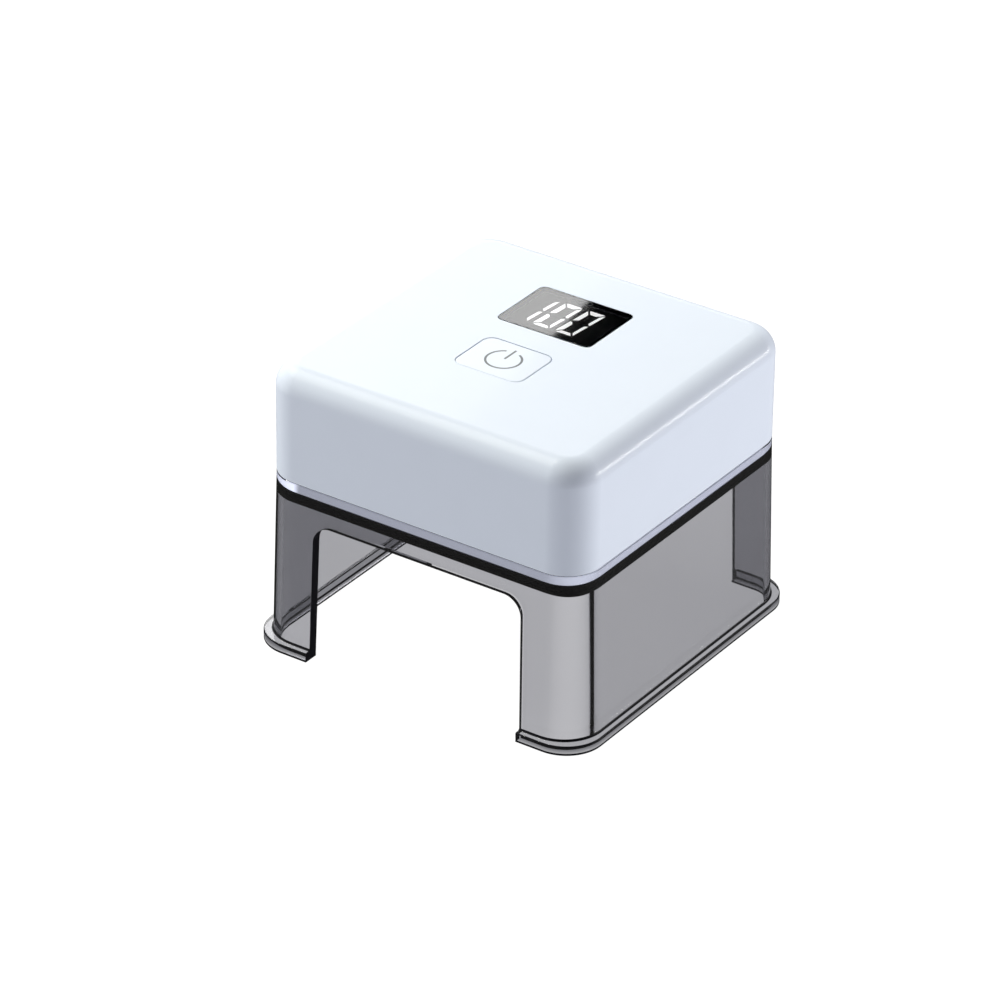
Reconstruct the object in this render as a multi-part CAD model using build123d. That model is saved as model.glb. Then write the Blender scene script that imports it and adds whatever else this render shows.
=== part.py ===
from build123d import *
import math
import os

# Mini UV LED nail lamp: a white square head on a smoked see-through stand.
# Millimetres, +Z up, origin on the floor under the middle of the stand.
# The arched front faces -Y, and the socket is in the rear wall.

# Head shell
HEAD_WIDTH = 78.0
HEAD_HEIGHT = 24.7
HEAD_CORNER_R = 8.0
HEAD_EDGE_R = 5.0
SHELL_WALL = 2.2
ROOF = 2.2
SEAM_GAP = 0.1
SPIGOT_GAP = 0.3
SPIGOT_WALL = 1.6
SPIGOT_STEP = 2.2
COVER_BOSS_R = 3.0
COVER_BOSS_INSET = 4.9
BOARD_BOSS_R = 2.5
RIB = 1.2

# Stand
STAND_HEIGHT = 40.0
STAND_WALL = 2.4
STAND_DRAFT = 1.5
STAND_INNER_R = 4.6
LEDGE_DROP = 3.05
LEDGE_THICK = 2.2
LEDGE_GAP = 0.4
TONGUE_DROP = 0.35
TONGUE_GAP = 0.15
FRONT_TONGUE = 45.4
SIDE_TONGUE = 26.0
SIDE_TONGUE_Y = 10.0
ARCH_WIDTH = 52.6
ARCH_HEIGHT = 32.1
ARCH_CORNER_R = 4.2
ARCH_DRAFT = 1.2
FOOT_REACH = 1.35
FOOT_HEIGHT = 2.2
FOOT_CORNER_R = 8.6
FOOT_EDGE_R = 0.3
FOOT_ROOT_R = 0.5

# Display window and its figures
WINDOW_WIDTH = 22.9
WINDOW_DEPTH = 17.5
WINDOW_CORNER_R = 1.4
WINDOW_THICK = 1.0
WINDOW_SEAT = 1.0
WINDOW_X = -0.6
WINDOW_Y = 14.75
WINDOW_GAP = 0.08
DISPLAY_GAP = 0.3
LENS_GAP = 0.15
DIGIT_HEIGHT = 11.5
DIGIT_WIDTH = 4.6
DIGIT_PITCH = 5.65
DIGIT_STROKE = 1.4
DIGIT_SPLIT = 0.18
DIGIT_SLANT = 4.5
DIGIT_SHIFT_X = -0.6
DIGIT_SHIFT_Y = 0.15
BAR_DEPTH = 0.4

# Power key
KEY_WIDTH = 16.6
KEY_DEPTH = 13.7
KEY_CORNER_R = 2.4
KEY_X = -0.4
KEY_Y = -8.05
KEY_GAP = 0.15
KEY_FLANGE = 1.0
KEY_FLANGE_REACH = 1.2
KEY_HOLD = 0.1
KEY_STEM_R = 2.6
SYMBOL_R = 3.75
SYMBOL_LINE = 0.5
SYMBOL_OPENING = 50.0
SYMBOL_BAR = 4.3
SYMBOL_BAR_LOW = 0.3
SYMBOL_DEPTH = 0.2

# Tact switch under the key
SWITCH_SIDE = 6.0
SWITCH_HEIGHT = 3.5
SWITCH_TRAVEL = 0.35
PLUNGER_R = 1.7
PLUNGER_PROUD = 1.2
PLUNGER_SINK = 1.2
PLUNGER_FIT = 0.05

# Main board
BOARD_THICK = 1.2
BOARD_DROP = 7.4
BOARD_DEPTH = 60.0
BOARD_REAR_GAP = 2.8
BOARD_SIDE_GAP = 0.8
BOARD_SCREW_INSET_X = 3.0
BOARD_SCREW_INSET_Y = 4.0
PIN_R = 0.25
PIN_HOLE_GAP = 0.05
PIN_PITCH = 2.54
PINS_PER_ROW = 5
PIN_TAIL = 1.2
PIN_ROW_INSET = 1.6

# Parts soldered on the main board
CONTROL_CHIP_LENGTH = 9.9
CONTROL_CHIP_PINS = 8
CONTROL_CHIP_X = 15.5
CONTROL_CHIP_Y = -12.0
CHARGE_CHIP_LENGTH = 4.9
CHARGE_CHIP_PINS = 4
CHARGE_CHIP_X = 18.5
CHARGE_CHIP_Y = 8.0
CHIP_WIDTH = 3.9
CHIP_HEIGHT = 1.5
CHIP_PIN_PITCH = 1.27
CHIP_PIN_REACH = 1.05
CHIP_PIN_WIDTH = 0.4
CHIP_PIN_HEIGHT = 0.6
INDUCTOR_SIDE = 7.0
INDUCTOR_HEIGHT = 4.0
INDUCTOR_CORNER_R = 1.5
INDUCTOR_X = -17.5
INDUCTOR_Y = -11.0
CAPACITOR_LENGTH = 3.2
CAPACITOR_WIDTH = 1.6
CAPACITOR_HEIGHT = 1.4
CAPACITOR_COUNT = 4
CAPACITOR_PITCH = 4.5
CAPACITOR_X = -18.5
CAPACITOR_Y = 1.0
RESISTOR_LENGTH = 1.6
RESISTOR_WIDTH = 0.8
RESISTOR_HEIGHT = 0.5
RESISTOR_COUNT = 6
RESISTOR_PITCH = 2.4
RESISTOR_X = -6.0
RESISTOR_Y = -21.0

# USB-C socket in the rear wall
SOCKET_WIDTH = 8.94
SOCKET_HEIGHT = 3.26
SOCKET_DEPTH = 7.35
SOCKET_SHEET = 0.3
SOCKET_RECESS = 1.3
SOCKET_HOLE_GAP = 0.3
SOCKET_PLATE_WIDTH = 6.7
SOCKET_PLATE_THICK = 0.7
SOCKET_PLATE_LENGTH = 4.5
SOCKET_BASE = 2.0

# Battery and leads
BATTERY_WIDTH = 46.0
BATTERY_DEPTH = 34.0
BATTERY_HEIGHT = 8.5
BATTERY_CORNER_R = 3.0
BATTERY_EDGE_R = 1.0
BATTERY_Y = -2.0
FOAM_WIDTH = 40.0
FOAM_DEPTH = 28.0
FOAM_THICK = 1.2
LEAD_R = 0.6
LEAD_PITCH = 2.5
LEAD_BEND_R = 2.4
LEAD_LIFT = 2.5
LAMP_LEAD_JOG = 3.0
PLUG_X = 13.0
PLUG_BEHIND_BATTERY = 7.0
LEAD_SOCKET_WIDTH = 7.4
LEAD_SOCKET_DEPTH = 5.0
LEAD_SOCKET_HEIGHT = 3.8
LEAD_SOCKET_WALL = 0.6
PLUG_PROUD = 1.5
PLUG_GAP = 0.1

# Bottom cover
COVER_PLATE = 2.5
COVER_GAP = 0.1
COVER_RIM = 1.2
COVER_RIM_HEIGHT = 2.3
COVER_FRAME = 8.6
COVER_BEZEL = 0.8
LAMP_WINDOW_R = 4.0

# Reflector, lamp board and beads
REFLECTOR_FLANGE = 1.0
REFLECTOR_GAP = 0.3
REFLECTOR_RECESS = 0.6
CUP_COLUMNS = 4
CUP_ROWS = 3
CUP_MOUTH_R = 5.6
CUP_THROAT_R = 2.7
LAMP_BOARD_THICK = 1.6
LAMP_BOARD_GAP = 0.5
LAMP_SCREW_INSET = 2.9
BOSS_CLEARANCE = 0.5
BEAD_SIDE = 3.5
BEAD_HEIGHT = 0.9
DOME_R = 1.4

# Screws
SCREW_R = 1.0
SCREW_HEAD_R = 2.0
SCREW_HEAD_HEIGHT = 1.4
SCREW_HOLE_GAP = 0.05
SCREW_SINK_GAP = 0.3
SCREW_SINK = 0.1
SCREW_BITE = 5.0
LAMP_SCREW_BITE = 2.0
SCREW_TIP_ROOM = 0.4
CROSS_WIDTH = 0.5
CROSS_LENGTH = 2.4
CROSS_DEPTH = 0.7

# A cut runs past the face that it opens, and a rib runs into what carries it, by this much
PAST = 0.5

# Half widths and corner radii worked out from the sizes above
HEAD_HALF = HEAD_WIDTH / 2
RIM_INNER_HALF = HEAD_HALF - STAND_WALL
RIM_INNER_R = HEAD_CORNER_R - STAND_WALL
SPIGOT_HALF = RIM_INNER_HALF - SPIGOT_GAP
SPIGOT_R = RIM_INNER_R - SPIGOT_GAP
THROAT_HALF = SPIGOT_HALF - SPIGOT_WALL
THROAT_R = SPIGOT_R - SPIGOT_WALL
COVER_HALF = THROAT_HALF - COVER_GAP
COVER_R = THROAT_R - COVER_GAP
LEDGE_HALF = COVER_HALF + LEDGE_GAP
LEDGE_R = COVER_R + LEDGE_GAP
CAVITY_HALF = HEAD_HALF - SHELL_WALL
CAVITY_R = HEAD_CORNER_R - SHELL_WALL
COVER_BOSS_AT = THROAT_HALF - COVER_BOSS_INSET
BOARD_HALF = COVER_BOSS_AT - COVER_BOSS_R - BOARD_SIDE_GAP
BOARD_REAR = CAVITY_HALF - BOARD_REAR_GAP
BOARD_CENTRE_Y = BOARD_REAR - BOARD_DEPTH / 2
LAMP_WINDOW_HALF = COVER_HALF - COVER_FRAME
LAMP_BOARD_HALF = COVER_HALF - COVER_RIM - LAMP_BOARD_GAP
LAMP_SCREW_AT = LAMP_BOARD_HALF - LAMP_SCREW_INSET
BATTERY_REAR = BATTERY_Y + BATTERY_DEPTH / 2
PLUG_Y = BATTERY_REAR + PLUG_BEHIND_BATTERY
SOCKET_MOUTH_Y = HEAD_HALF - SOCKET_RECESS
DISPLAY_WIDTH = WINDOW_WIDTH - 2 * (WINDOW_SEAT + DISPLAY_GAP)
DISPLAY_DEPTH = WINDOW_DEPTH - 2 * (WINDOW_SEAT + DISPLAY_GAP)

# Heights worked out from the sizes above
LEDGE_TOP = STAND_HEIGHT - LEDGE_DROP
LEDGE_BOTTOM = LEDGE_TOP - LEDGE_THICK
TONGUE_Z = LEDGE_TOP - TONGUE_DROP
HEAD_Z = STAND_HEIGHT + SEAM_GAP
STEP_Z = HEAD_Z + SPIGOT_STEP
TOP_Z = HEAD_Z + HEAD_HEIGHT
CEILING_Z = TOP_Z - ROOF
WINDOW_Z = TOP_Z - WINDOW_THICK
DISPLAY_TOP = WINDOW_Z - LENS_GAP
KEY_FLANGE_TOP = CEILING_Z - KEY_HOLD
KEY_FLANGE_Z = KEY_FLANGE_TOP - KEY_FLANGE
BOARD_TOP = CEILING_Z - BOARD_DROP
BOARD_Z = BOARD_TOP - BOARD_THICK
SWITCH_TOP = BOARD_TOP + SWITCH_HEIGHT
PLUNGER_TOP = SWITCH_TOP + PLUNGER_PROUD
PLUNGER_Z = SWITCH_TOP - PLUNGER_SINK
SOCKET_MID_Z = BOARD_TOP + SOCKET_HEIGHT / 2
COVER_TOP = LEDGE_BOTTOM + COVER_PLATE
REFLECTOR_Z = LEDGE_BOTTOM + REFLECTOR_RECESS
LAMP_BOARD_Z = COVER_TOP + REFLECTOR_FLANGE
LAMP_BOARD_TOP = LAMP_BOARD_Z + LAMP_BOARD_THICK
BATTERY_Z = LAMP_BOARD_TOP + FOAM_THICK
LEAD_SOCKET_Z = BOARD_Z - LEAD_SOCKET_HEIGHT
PLUG_Z = LEAD_SOCKET_Z - PLUG_PROUD
SCREW_SEAT_Z = LEDGE_BOTTOM + SCREW_SINK + SCREW_HEAD_HEIGHT

STANDING = (Align.CENTER, Align.CENTER, Align.MIN)
HANGING = (Align.CENTER, Align.CENTER, Align.MAX)


def square_at(half, corner_r, z):
    """A rounded square outline centred on the Z axis, at height z."""
    return Pos(0, 0, z) * RectangleRounded(2 * half, 2 * half, corner_r)


def square_plate(half, corner_r, bottom, top):
    """A rounded square plate between two heights."""
    return extrude(square_at(half, corner_r, bottom), amount=top - bottom)


def rounded_plate(width, depth, corner_r, x, y, bottom, top):
    """A rounded rectangular plate centred on x, y between two heights."""
    outline = Pos(x, y, bottom) * RectangleRounded(width, depth, corner_r)
    return extrude(outline, amount=top - bottom)


def block(width, depth, x, y, bottom, top):
    """A plain block centred on x, y between two heights."""
    return Pos(x, y, bottom) * Box(width, depth, top - bottom, align=STANDING)


def post(radius, x, y, bottom, top):
    """A round post, or the cutter for a round hole, between two heights."""
    return Pos(x, y, bottom) * Cylinder(radius, top - bottom, align=STANDING)


def group(solids):
    """One node that holds several separate solids."""
    return Compound(children=list(solids))


def corner_places(half_x, half_y, centre_y=0.0):
    """The four corners of a rectangle."""
    return [(x * half_x, centre_y + y * half_y) for x in (-1, 1) for y in (-1, 1)]


def side_places(reach):
    """The middles of the four sides of a square."""
    return [(reach, 0), (-reach, 0), (0, reach), (0, -reach)]


def wall_growth(z):
    """How far the drafted wall of the stand has moved outwards at height z."""
    return (STAND_HEIGHT - z) * math.tan(math.radians(STAND_DRAFT))


def wall_outline(inset, z):
    """The stand wall's outline at height z, set inwards from its outer face."""
    growth = wall_growth(z) - inset
    return square_at(HEAD_HALF + growth, HEAD_CORNER_R + growth, z)


def wall_block(inset, bottom, top):
    """The solid inside the stand wall's outline between two heights."""
    return loft([wall_outline(inset, bottom), wall_outline(inset, top)], ruled=True)


def hollow_outline(z):
    """The outline of the stand's inner faces at height z. Its corners are tighter than the outer ones."""
    growth = wall_growth(z)
    return square_at(RIM_INNER_HALF + growth, STAND_INNER_R + growth, z)


def wall_on_foot():
    """The drafted wall on the foot lip, still solid inside. The wall's root and the lip's edge are rounded."""
    lip_half = HEAD_HALF + wall_growth(FOOT_HEIGHT) + FOOT_REACH
    lip = square_plate(lip_half, FOOT_CORNER_R, 0, FOOT_HEIGHT)
    lip = fillet(lip.faces().sort_by(Axis.Z)[-1].edges(), FOOT_EDGE_R)
    body = lip + wall_block(0, FOOT_HEIGHT, STAND_HEIGHT)
    step = body.faces().filter_by(Plane.XY).sort_by(Axis.Z)[1]
    return fillet(step.inner_wires()[0].edges(), FOOT_ROOT_R)


def arch_cutter():
    """The tunnel for the fingers, cut through the front and rear walls."""
    taper = math.tan(math.radians(ARCH_DRAFT))
    half_low = ARCH_WIDTH / 2 + PAST * taper
    half_high = ARCH_WIDTH / 2 - ARCH_HEIGHT * taper
    outline = Polygon(
        (-half_low, -PAST), (half_low, -PAST), (half_high, ARCH_HEIGHT), (-half_high, ARCH_HEIGHT),
        align=None,
    )
    outline = fillet(outline.vertices().group_by(Axis.Y)[-1], ARCH_CORNER_R)
    return extrude(Plane.XZ * outline, amount=HEAD_WIDTH, both=True)


def tongue_cross(gap, bottom, top):
    """The four spans of the tongues, as two bars that cross. The side spans lie off centre,
    so the head goes into the stand only one way round."""
    front_to_rear = block(FRONT_TONGUE + 2 * gap, HEAD_WIDTH, 0, 0, bottom, top)
    side_to_side = block(HEAD_WIDTH, SIDE_TONGUE + 2 * gap, 0, SIDE_TONGUE_Y, bottom, top)
    return front_to_rear + side_to_side


def smoked_stand():
    """The see-through stand: foot, drafted wall, arches, rim and the ledge under the head."""
    body = wall_on_foot()
    body -= loft([hollow_outline(-PAST), hollow_outline(LEDGE_BOTTOM)], ruled=True)
    body -= wall_block(STAND_WALL, LEDGE_TOP, STAND_HEIGHT + PAST)
    body -= square_plate(LEDGE_HALF, LEDGE_R, LEDGE_BOTTOM - PAST, STAND_HEIGHT)
    recess_top = LEDGE_TOP + PAST
    body -= tongue_cross(TONGUE_GAP, TONGUE_Z, recess_top) & wall_block(STAND_WALL, TONGUE_Z, recess_top)
    return body - arch_cutter()


def shell_outside():
    """The head's outer form with its spigot and the tongues under the spigot."""
    cap = square_plate(HEAD_HALF, HEAD_CORNER_R, HEAD_Z, TOP_Z)
    cap = fillet(cap.faces().sort_by(Axis.Z)[-1].edges(), HEAD_EDGE_R)
    spigot = square_plate(SPIGOT_HALF, SPIGOT_R, LEDGE_TOP, HEAD_Z)
    tongues = square_plate(SPIGOT_HALF, SPIGOT_R, TONGUE_Z, LEDGE_TOP) & tongue_cross(0, TONGUE_Z, LEDGE_TOP)
    return cap + spigot + tongues


def shell_inside():
    """The hollow of the head: the cavity and the narrower throat through the spigot."""
    cavity = square_plate(CAVITY_HALF, CAVITY_R, STEP_Z, CEILING_Z)
    cavity = fillet(cavity.faces().sort_by(Axis.Z)[-1].edges(), max(HEAD_EDGE_R - ROOF, PAST))
    return cavity + square_plate(THROAT_HALF, THROAT_R, TONGUE_Z - PAST, STEP_Z)


def cover_boss(x, y):
    """A corner boss for a cover screw, tied to both walls by ribs."""
    reach = CAVITY_HALF + PAST - abs(x)
    middle = abs(x) + reach / 2
    boss = post(COVER_BOSS_R, x, y, COVER_TOP, CEILING_Z + PAST)
    rib_x = block(reach, RIB, math.copysign(middle, x), y, STEP_Z, CEILING_Z + PAST)
    rib_y = block(RIB, reach, x, math.copysign(middle, y), STEP_Z, CEILING_Z + PAST)
    pilot = post(SCREW_R + SCREW_HOLE_GAP, x, y, COVER_TOP - PAST, COVER_TOP + SCREW_BITE + SCREW_TIP_ROOM)
    return (boss + rib_x + rib_y) & shell_room(), pilot


def shell_room():
    """The block that keeps ribs and bosses inside the head's skin."""
    return square_plate(HEAD_HALF - SHELL_WALL / 2, HEAD_CORNER_R - SHELL_WALL / 2, LEDGE_TOP, WINDOW_Z)


def cover_screw_places():
    return corner_places(COVER_BOSS_AT, COVER_BOSS_AT)


def board_screw_places():
    return corner_places(
        BOARD_HALF - BOARD_SCREW_INSET_X, BOARD_DEPTH / 2 - BOARD_SCREW_INSET_Y, BOARD_CENTRE_Y
    )


def socket_outline(margin, y):
    """The rounded outline of the USB socket, grown by a margin, on the plane at y."""
    width = SOCKET_WIDTH + 2 * margin
    height = SOCKET_HEIGHT + 2 * margin
    outline = Pos(0, SOCKET_MID_Z) * SlotOverall(width, height)
    return Plane.XZ.offset(-y) * outline


def head_shell():
    """The white cap: roof, walls, spigot, bosses and the openings in it."""
    body = shell_outside() - shell_inside()
    for x, y in cover_screw_places():
        boss, pilot = cover_boss(x, y)
        body = body + boss - pilot
    for x, y in board_screw_places():
        body += post(BOARD_BOSS_R, x, y, BOARD_TOP, CEILING_Z + PAST)
        body -= post(SCREW_R + SCREW_HOLE_GAP, x, y, BOARD_TOP - PAST, BOARD_TOP + SCREW_BITE + SCREW_TIP_ROOM)
    body -= rounded_plate(
        WINDOW_WIDTH + 2 * WINDOW_GAP, WINDOW_DEPTH + 2 * WINDOW_GAP, WINDOW_CORNER_R + WINDOW_GAP,
        WINDOW_X, WINDOW_Y, WINDOW_Z, TOP_Z + PAST,
    )
    body -= block(
        WINDOW_WIDTH - 2 * WINDOW_SEAT, WINDOW_DEPTH - 2 * WINDOW_SEAT,
        WINDOW_X, WINDOW_Y, CEILING_Z - PAST, TOP_Z,
    )
    body -= rounded_plate(
        KEY_WIDTH + 2 * KEY_GAP, KEY_DEPTH + 2 * KEY_GAP, KEY_CORNER_R + KEY_GAP,
        KEY_X, KEY_Y, CEILING_Z - PAST, TOP_Z + PAST,
    )
    hole_depth = SHELL_WALL + 2 * PAST
    body -= extrude(socket_outline(SOCKET_HOLE_GAP, HEAD_HALF + PAST), amount=hole_depth)
    return body


def display_window():
    """The dark lens, seated flush in the roof."""
    return rounded_plate(
        WINDOW_WIDTH, WINDOW_DEPTH, WINDOW_CORNER_R, WINDOW_X, WINDOW_Y, WINDOW_Z, TOP_Z
    )


def flipped(points, width=None, height=None):
    """An outline mirrored inside its cell, left to right or top to bottom."""
    if width is not None:
        return [(width - x, y) for x, y in points]
    return [(x, height - y) for x, y in points]


def upright_bar():
    """The upper right bar of a figure, with its mitred top end and slanted lower end."""
    middle = DIGIT_HEIGHT / 2
    inner = DIGIT_WIDTH - DIGIT_STROKE
    return [
        (DIGIT_WIDTH, DIGIT_HEIGHT - DIGIT_SPLIT),
        (DIGIT_WIDTH, middle + DIGIT_SPLIT),
        (inner, middle + DIGIT_SPLIT + DIGIT_STROKE / 2),
        (inner, DIGIT_HEIGHT - DIGIT_STROKE - DIGIT_SPLIT),
    ]


def top_bar():
    """The top bar of a figure, mitred at both ends."""
    inset = DIGIT_STROKE + DIGIT_SPLIT
    return [
        (DIGIT_SPLIT, DIGIT_HEIGHT),
        (DIGIT_WIDTH - DIGIT_SPLIT, DIGIT_HEIGHT),
        (DIGIT_WIDTH - inset, DIGIT_HEIGHT - DIGIT_STROKE),
        (inset, DIGIT_HEIGHT - DIGIT_STROKE),
    ]


def middle_bar():
    """The middle bar of a figure, pointed at both ends."""
    middle = DIGIT_HEIGHT / 2
    half = DIGIT_STROKE / 2 - DIGIT_SPLIT
    left = [(DIGIT_STROKE, middle - half), (2 * DIGIT_SPLIT, middle), (DIGIT_STROKE, middle + half)]
    return left + flipped(left[::-1], width=DIGIT_WIDTH)


def figure_one():
    """The outlines of the two bars of a one."""
    upper = upright_bar()
    return [upper, flipped(upper, height=DIGIT_HEIGHT)]


def figure_nought():
    """The outlines of the six bars of a nought."""
    right = figure_one()
    left = [flipped(bar, width=DIGIT_WIDTH) for bar in right]
    return right + left + [top_bar(), flipped(top_bar(), height=DIGIT_HEIGHT)]


def bar_solid(points, cell):
    """One display bar, leaning, in the figure cell counted from the left."""
    lean = math.tan(math.radians(DIGIT_SLANT))
    right_edge = WINDOW_X + DIGIT_SHIFT_X + DIGIT_STROKE / 2 + (cell - 1) * DIGIT_PITCH
    left = right_edge - DIGIT_WIDTH - lean * DIGIT_HEIGHT / 2
    bottom = WINDOW_Y + DIGIT_SHIFT_Y - DIGIT_HEIGHT / 2
    leaning = [(left + x + lean * y, bottom + y) for x, y in points]
    outline = Pos(0, 0, DISPLAY_TOP - BAR_DEPTH) * make_face(Polyline(*leaning, close=True))
    return extrude(outline, amount=BAR_DEPTH, dir=(0, 0, 1))


def lit_bars():
    """The bars that glow to show 100."""
    bars = [bar_solid(points, 0) for points in figure_one()]
    for cell in (1, 2):
        bars += [bar_solid(points, cell) for points in figure_nought()]
    return bars


def unlit_bars():
    """The middle bars of the two noughts, which stay dark."""
    return [bar_solid(middle_bar(), cell) for cell in (1, 2)]


def display_pin_places():
    rows = DISPLAY_DEPTH / 2 - PIN_ROW_INSET
    first = WINDOW_X - PIN_PITCH * (PINS_PER_ROW - 1) / 2
    columns = [first + PIN_PITCH * index for index in range(PINS_PER_ROW)]
    return [(x, WINDOW_Y + side * rows) for x in columns for side in (-1, 1)]


def display_housing():
    """The display's body, with a pocket for each bar."""
    body = block(DISPLAY_WIDTH, DISPLAY_DEPTH, WINDOW_X, WINDOW_Y, BOARD_TOP, DISPLAY_TOP)
    for bar in lit_bars() + unlit_bars():
        body -= bar
    return body


def display_pins():
    return [post(PIN_R, x, y, BOARD_Z - PIN_TAIL, BOARD_TOP) for x, y in display_pin_places()]


def power_symbol():
    """The power sign set into the key: an open ring and a bar."""
    ring = Circle(SYMBOL_R + SYMBOL_LINE / 2) - Circle(SYMBOL_R - SYMBOL_LINE / 2)
    wedge_height = 2 * SYMBOL_R
    wedge_half = wedge_height * math.tan(math.radians(SYMBOL_OPENING / 2))
    ring -= Polygon((0, 0), (wedge_half, wedge_height), (-wedge_half, wedge_height), align=None)
    bar = Pos(0, SYMBOL_BAR_LOW + SYMBOL_BAR / 2) * Rectangle(SYMBOL_LINE, SYMBOL_BAR)
    place = Pos(KEY_X, KEY_Y, TOP_Z - SYMBOL_DEPTH)
    return [extrude(place * outline, amount=SYMBOL_DEPTH) for outline in (ring, bar)]


def power_key():
    """The key: a cap flush with the roof, a flange that keeps it in, and a stem."""
    reach = 2 * KEY_FLANGE_REACH
    cap = rounded_plate(KEY_WIDTH, KEY_DEPTH, KEY_CORNER_R, KEY_X, KEY_Y, KEY_FLANGE_TOP, TOP_Z)
    flange = rounded_plate(
        KEY_WIDTH + reach, KEY_DEPTH + reach, KEY_CORNER_R, KEY_X, KEY_Y, KEY_FLANGE_Z, KEY_FLANGE_TOP
    )
    body = cap + flange + post(KEY_STEM_R, KEY_X, KEY_Y, PLUNGER_TOP, KEY_FLANGE_Z)
    for mark in power_symbol():
        body -= mark
    return body


def switch_body():
    """The tact switch, with the bore that its plunger slides in."""
    body = block(SWITCH_SIDE, SWITCH_SIDE, KEY_X, KEY_Y, BOARD_TOP, SWITCH_TOP)
    bore_z = PLUNGER_Z - SWITCH_TRAVEL - PLUNGER_FIT
    return body - post(PLUNGER_R + PLUNGER_FIT, KEY_X, KEY_Y, bore_z, SWITCH_TOP + PAST)


def switch_plunger():
    return post(PLUNGER_R, KEY_X, KEY_Y, PLUNGER_Z, PLUNGER_TOP)


def main_board():
    """The board that carries the display, the switch, the chips and the USB socket."""
    body = block(2 * BOARD_HALF, BOARD_DEPTH, 0, BOARD_CENTRE_Y, BOARD_Z, BOARD_TOP)
    for x, y in board_screw_places():
        body -= post(SCREW_R + SCREW_HOLE_GAP, x, y, BOARD_Z - PAST, BOARD_TOP + PAST)
    for x, y in display_pin_places():
        body -= post(PIN_R + PIN_HOLE_GAP, x, y, BOARD_Z - PAST, BOARD_TOP + PAST)
    return body


def chip(length, x, y):
    """The black body of a chip."""
    return block(length, CHIP_WIDTH, x, y, BOARD_TOP, BOARD_TOP + CHIP_HEIGHT)


def chip_pins(count, x, y):
    """The pins along both long sides of a chip."""
    pins = []
    for index in range(count):
        pin_x = x + CHIP_PIN_PITCH * (index - (count - 1) / 2)
        for side in (-1, 1):
            pin_y = y + side * (CHIP_WIDTH + CHIP_PIN_REACH) / 2
            pins.append(
                block(CHIP_PIN_WIDTH, CHIP_PIN_REACH, pin_x, pin_y, BOARD_TOP, BOARD_TOP + CHIP_PIN_HEIGHT)
            )
    return pins


def inductor():
    return rounded_plate(
        INDUCTOR_SIDE, INDUCTOR_SIDE, INDUCTOR_CORNER_R, INDUCTOR_X, INDUCTOR_Y,
        BOARD_TOP, BOARD_TOP + INDUCTOR_HEIGHT,
    )


def capacitors():
    """A column of block capacitors beside the display."""
    places = [CAPACITOR_Y + CAPACITOR_PITCH * index for index in range(CAPACITOR_COUNT)]
    top = BOARD_TOP + CAPACITOR_HEIGHT
    return [block(CAPACITOR_LENGTH, CAPACITOR_WIDTH, CAPACITOR_X, y, BOARD_TOP, top) for y in places]


def resistors():
    """A row of block resistors near the front edge of the board."""
    places = [RESISTOR_X + RESISTOR_PITCH * index for index in range(RESISTOR_COUNT)]
    top = BOARD_TOP + RESISTOR_HEIGHT
    return [block(RESISTOR_WIDTH, RESISTOR_LENGTH, x, RESISTOR_Y, BOARD_TOP, top) for x in places]


def usb_socket_shell():
    """The socket's folded steel tube, open at its mouth."""
    outside = extrude(socket_outline(0, SOCKET_MOUTH_Y), amount=SOCKET_DEPTH)
    return outside - extrude(socket_outline(-SOCKET_SHEET, SOCKET_MOUTH_Y), amount=SOCKET_DEPTH)


def usb_socket_tongue():
    """The socket's inner block and the contact tongue that stands on it."""
    base_y = SOCKET_MOUTH_Y - SOCKET_DEPTH + SOCKET_BASE
    base = extrude(socket_outline(-SOCKET_SHEET, base_y), amount=SOCKET_BASE)
    half_thick = SOCKET_PLATE_THICK / 2
    plate = block(
        SOCKET_PLATE_WIDTH, SOCKET_PLATE_LENGTH, 0, base_y + SOCKET_PLATE_LENGTH / 2,
        SOCKET_MID_Z - half_thick, SOCKET_MID_Z + half_thick,
    )
    return base + plate


def battery_cell():
    """The pouch cell, soft at its upper and lower edges."""
    top = BATTERY_Z + BATTERY_HEIGHT
    body = rounded_plate(BATTERY_WIDTH, BATTERY_DEPTH, BATTERY_CORNER_R, 0, BATTERY_Y, BATTERY_Z, top)
    edges = body.faces().sort_by(Axis.Z)[-1].edges() + body.faces().sort_by(Axis.Z)[0].edges()
    return fillet(edges, BATTERY_EDGE_R)


def battery_pad():
    return block(FOAM_WIDTH, FOAM_DEPTH, 0, BATTERY_Y, LAMP_BOARD_TOP, BATTERY_Z)


def lead(points):
    """A round lead along straight runs joined by arcs."""
    path = FilletPolyline(*points, radius=LEAD_BEND_R)
    return sweep(Plane(origin=path @ 0, z_dir=path % 0) * Circle(LEAD_R), path=path)


def battery_lead(side):
    """A lead from the battery plug down and forward into the rear end of the cell."""
    x = PLUG_X + side * LEAD_PITCH / 2
    z = BATTERY_Z + LEAD_LIFT
    return lead([(x, PLUG_Y, PLUG_Z), (x, PLUG_Y, z), (x, BATTERY_REAR, z)])


def lamp_lead(side):
    """A lead from the lamp plug down to its pad on the lamp board."""
    x = -PLUG_X + side * LEAD_PITCH / 2
    pad_y = PLUG_Y + LAMP_LEAD_JOG
    bend_z = (PLUG_Z + LAMP_BOARD_TOP + LAMP_LEAD_JOG) / 2
    return lead([
        (x, PLUG_Y, PLUG_Z), (x, PLUG_Y, bend_z), (x, pad_y, bend_z - LAMP_LEAD_JOG),
        (x, pad_y, LAMP_BOARD_TOP),
    ])


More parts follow.
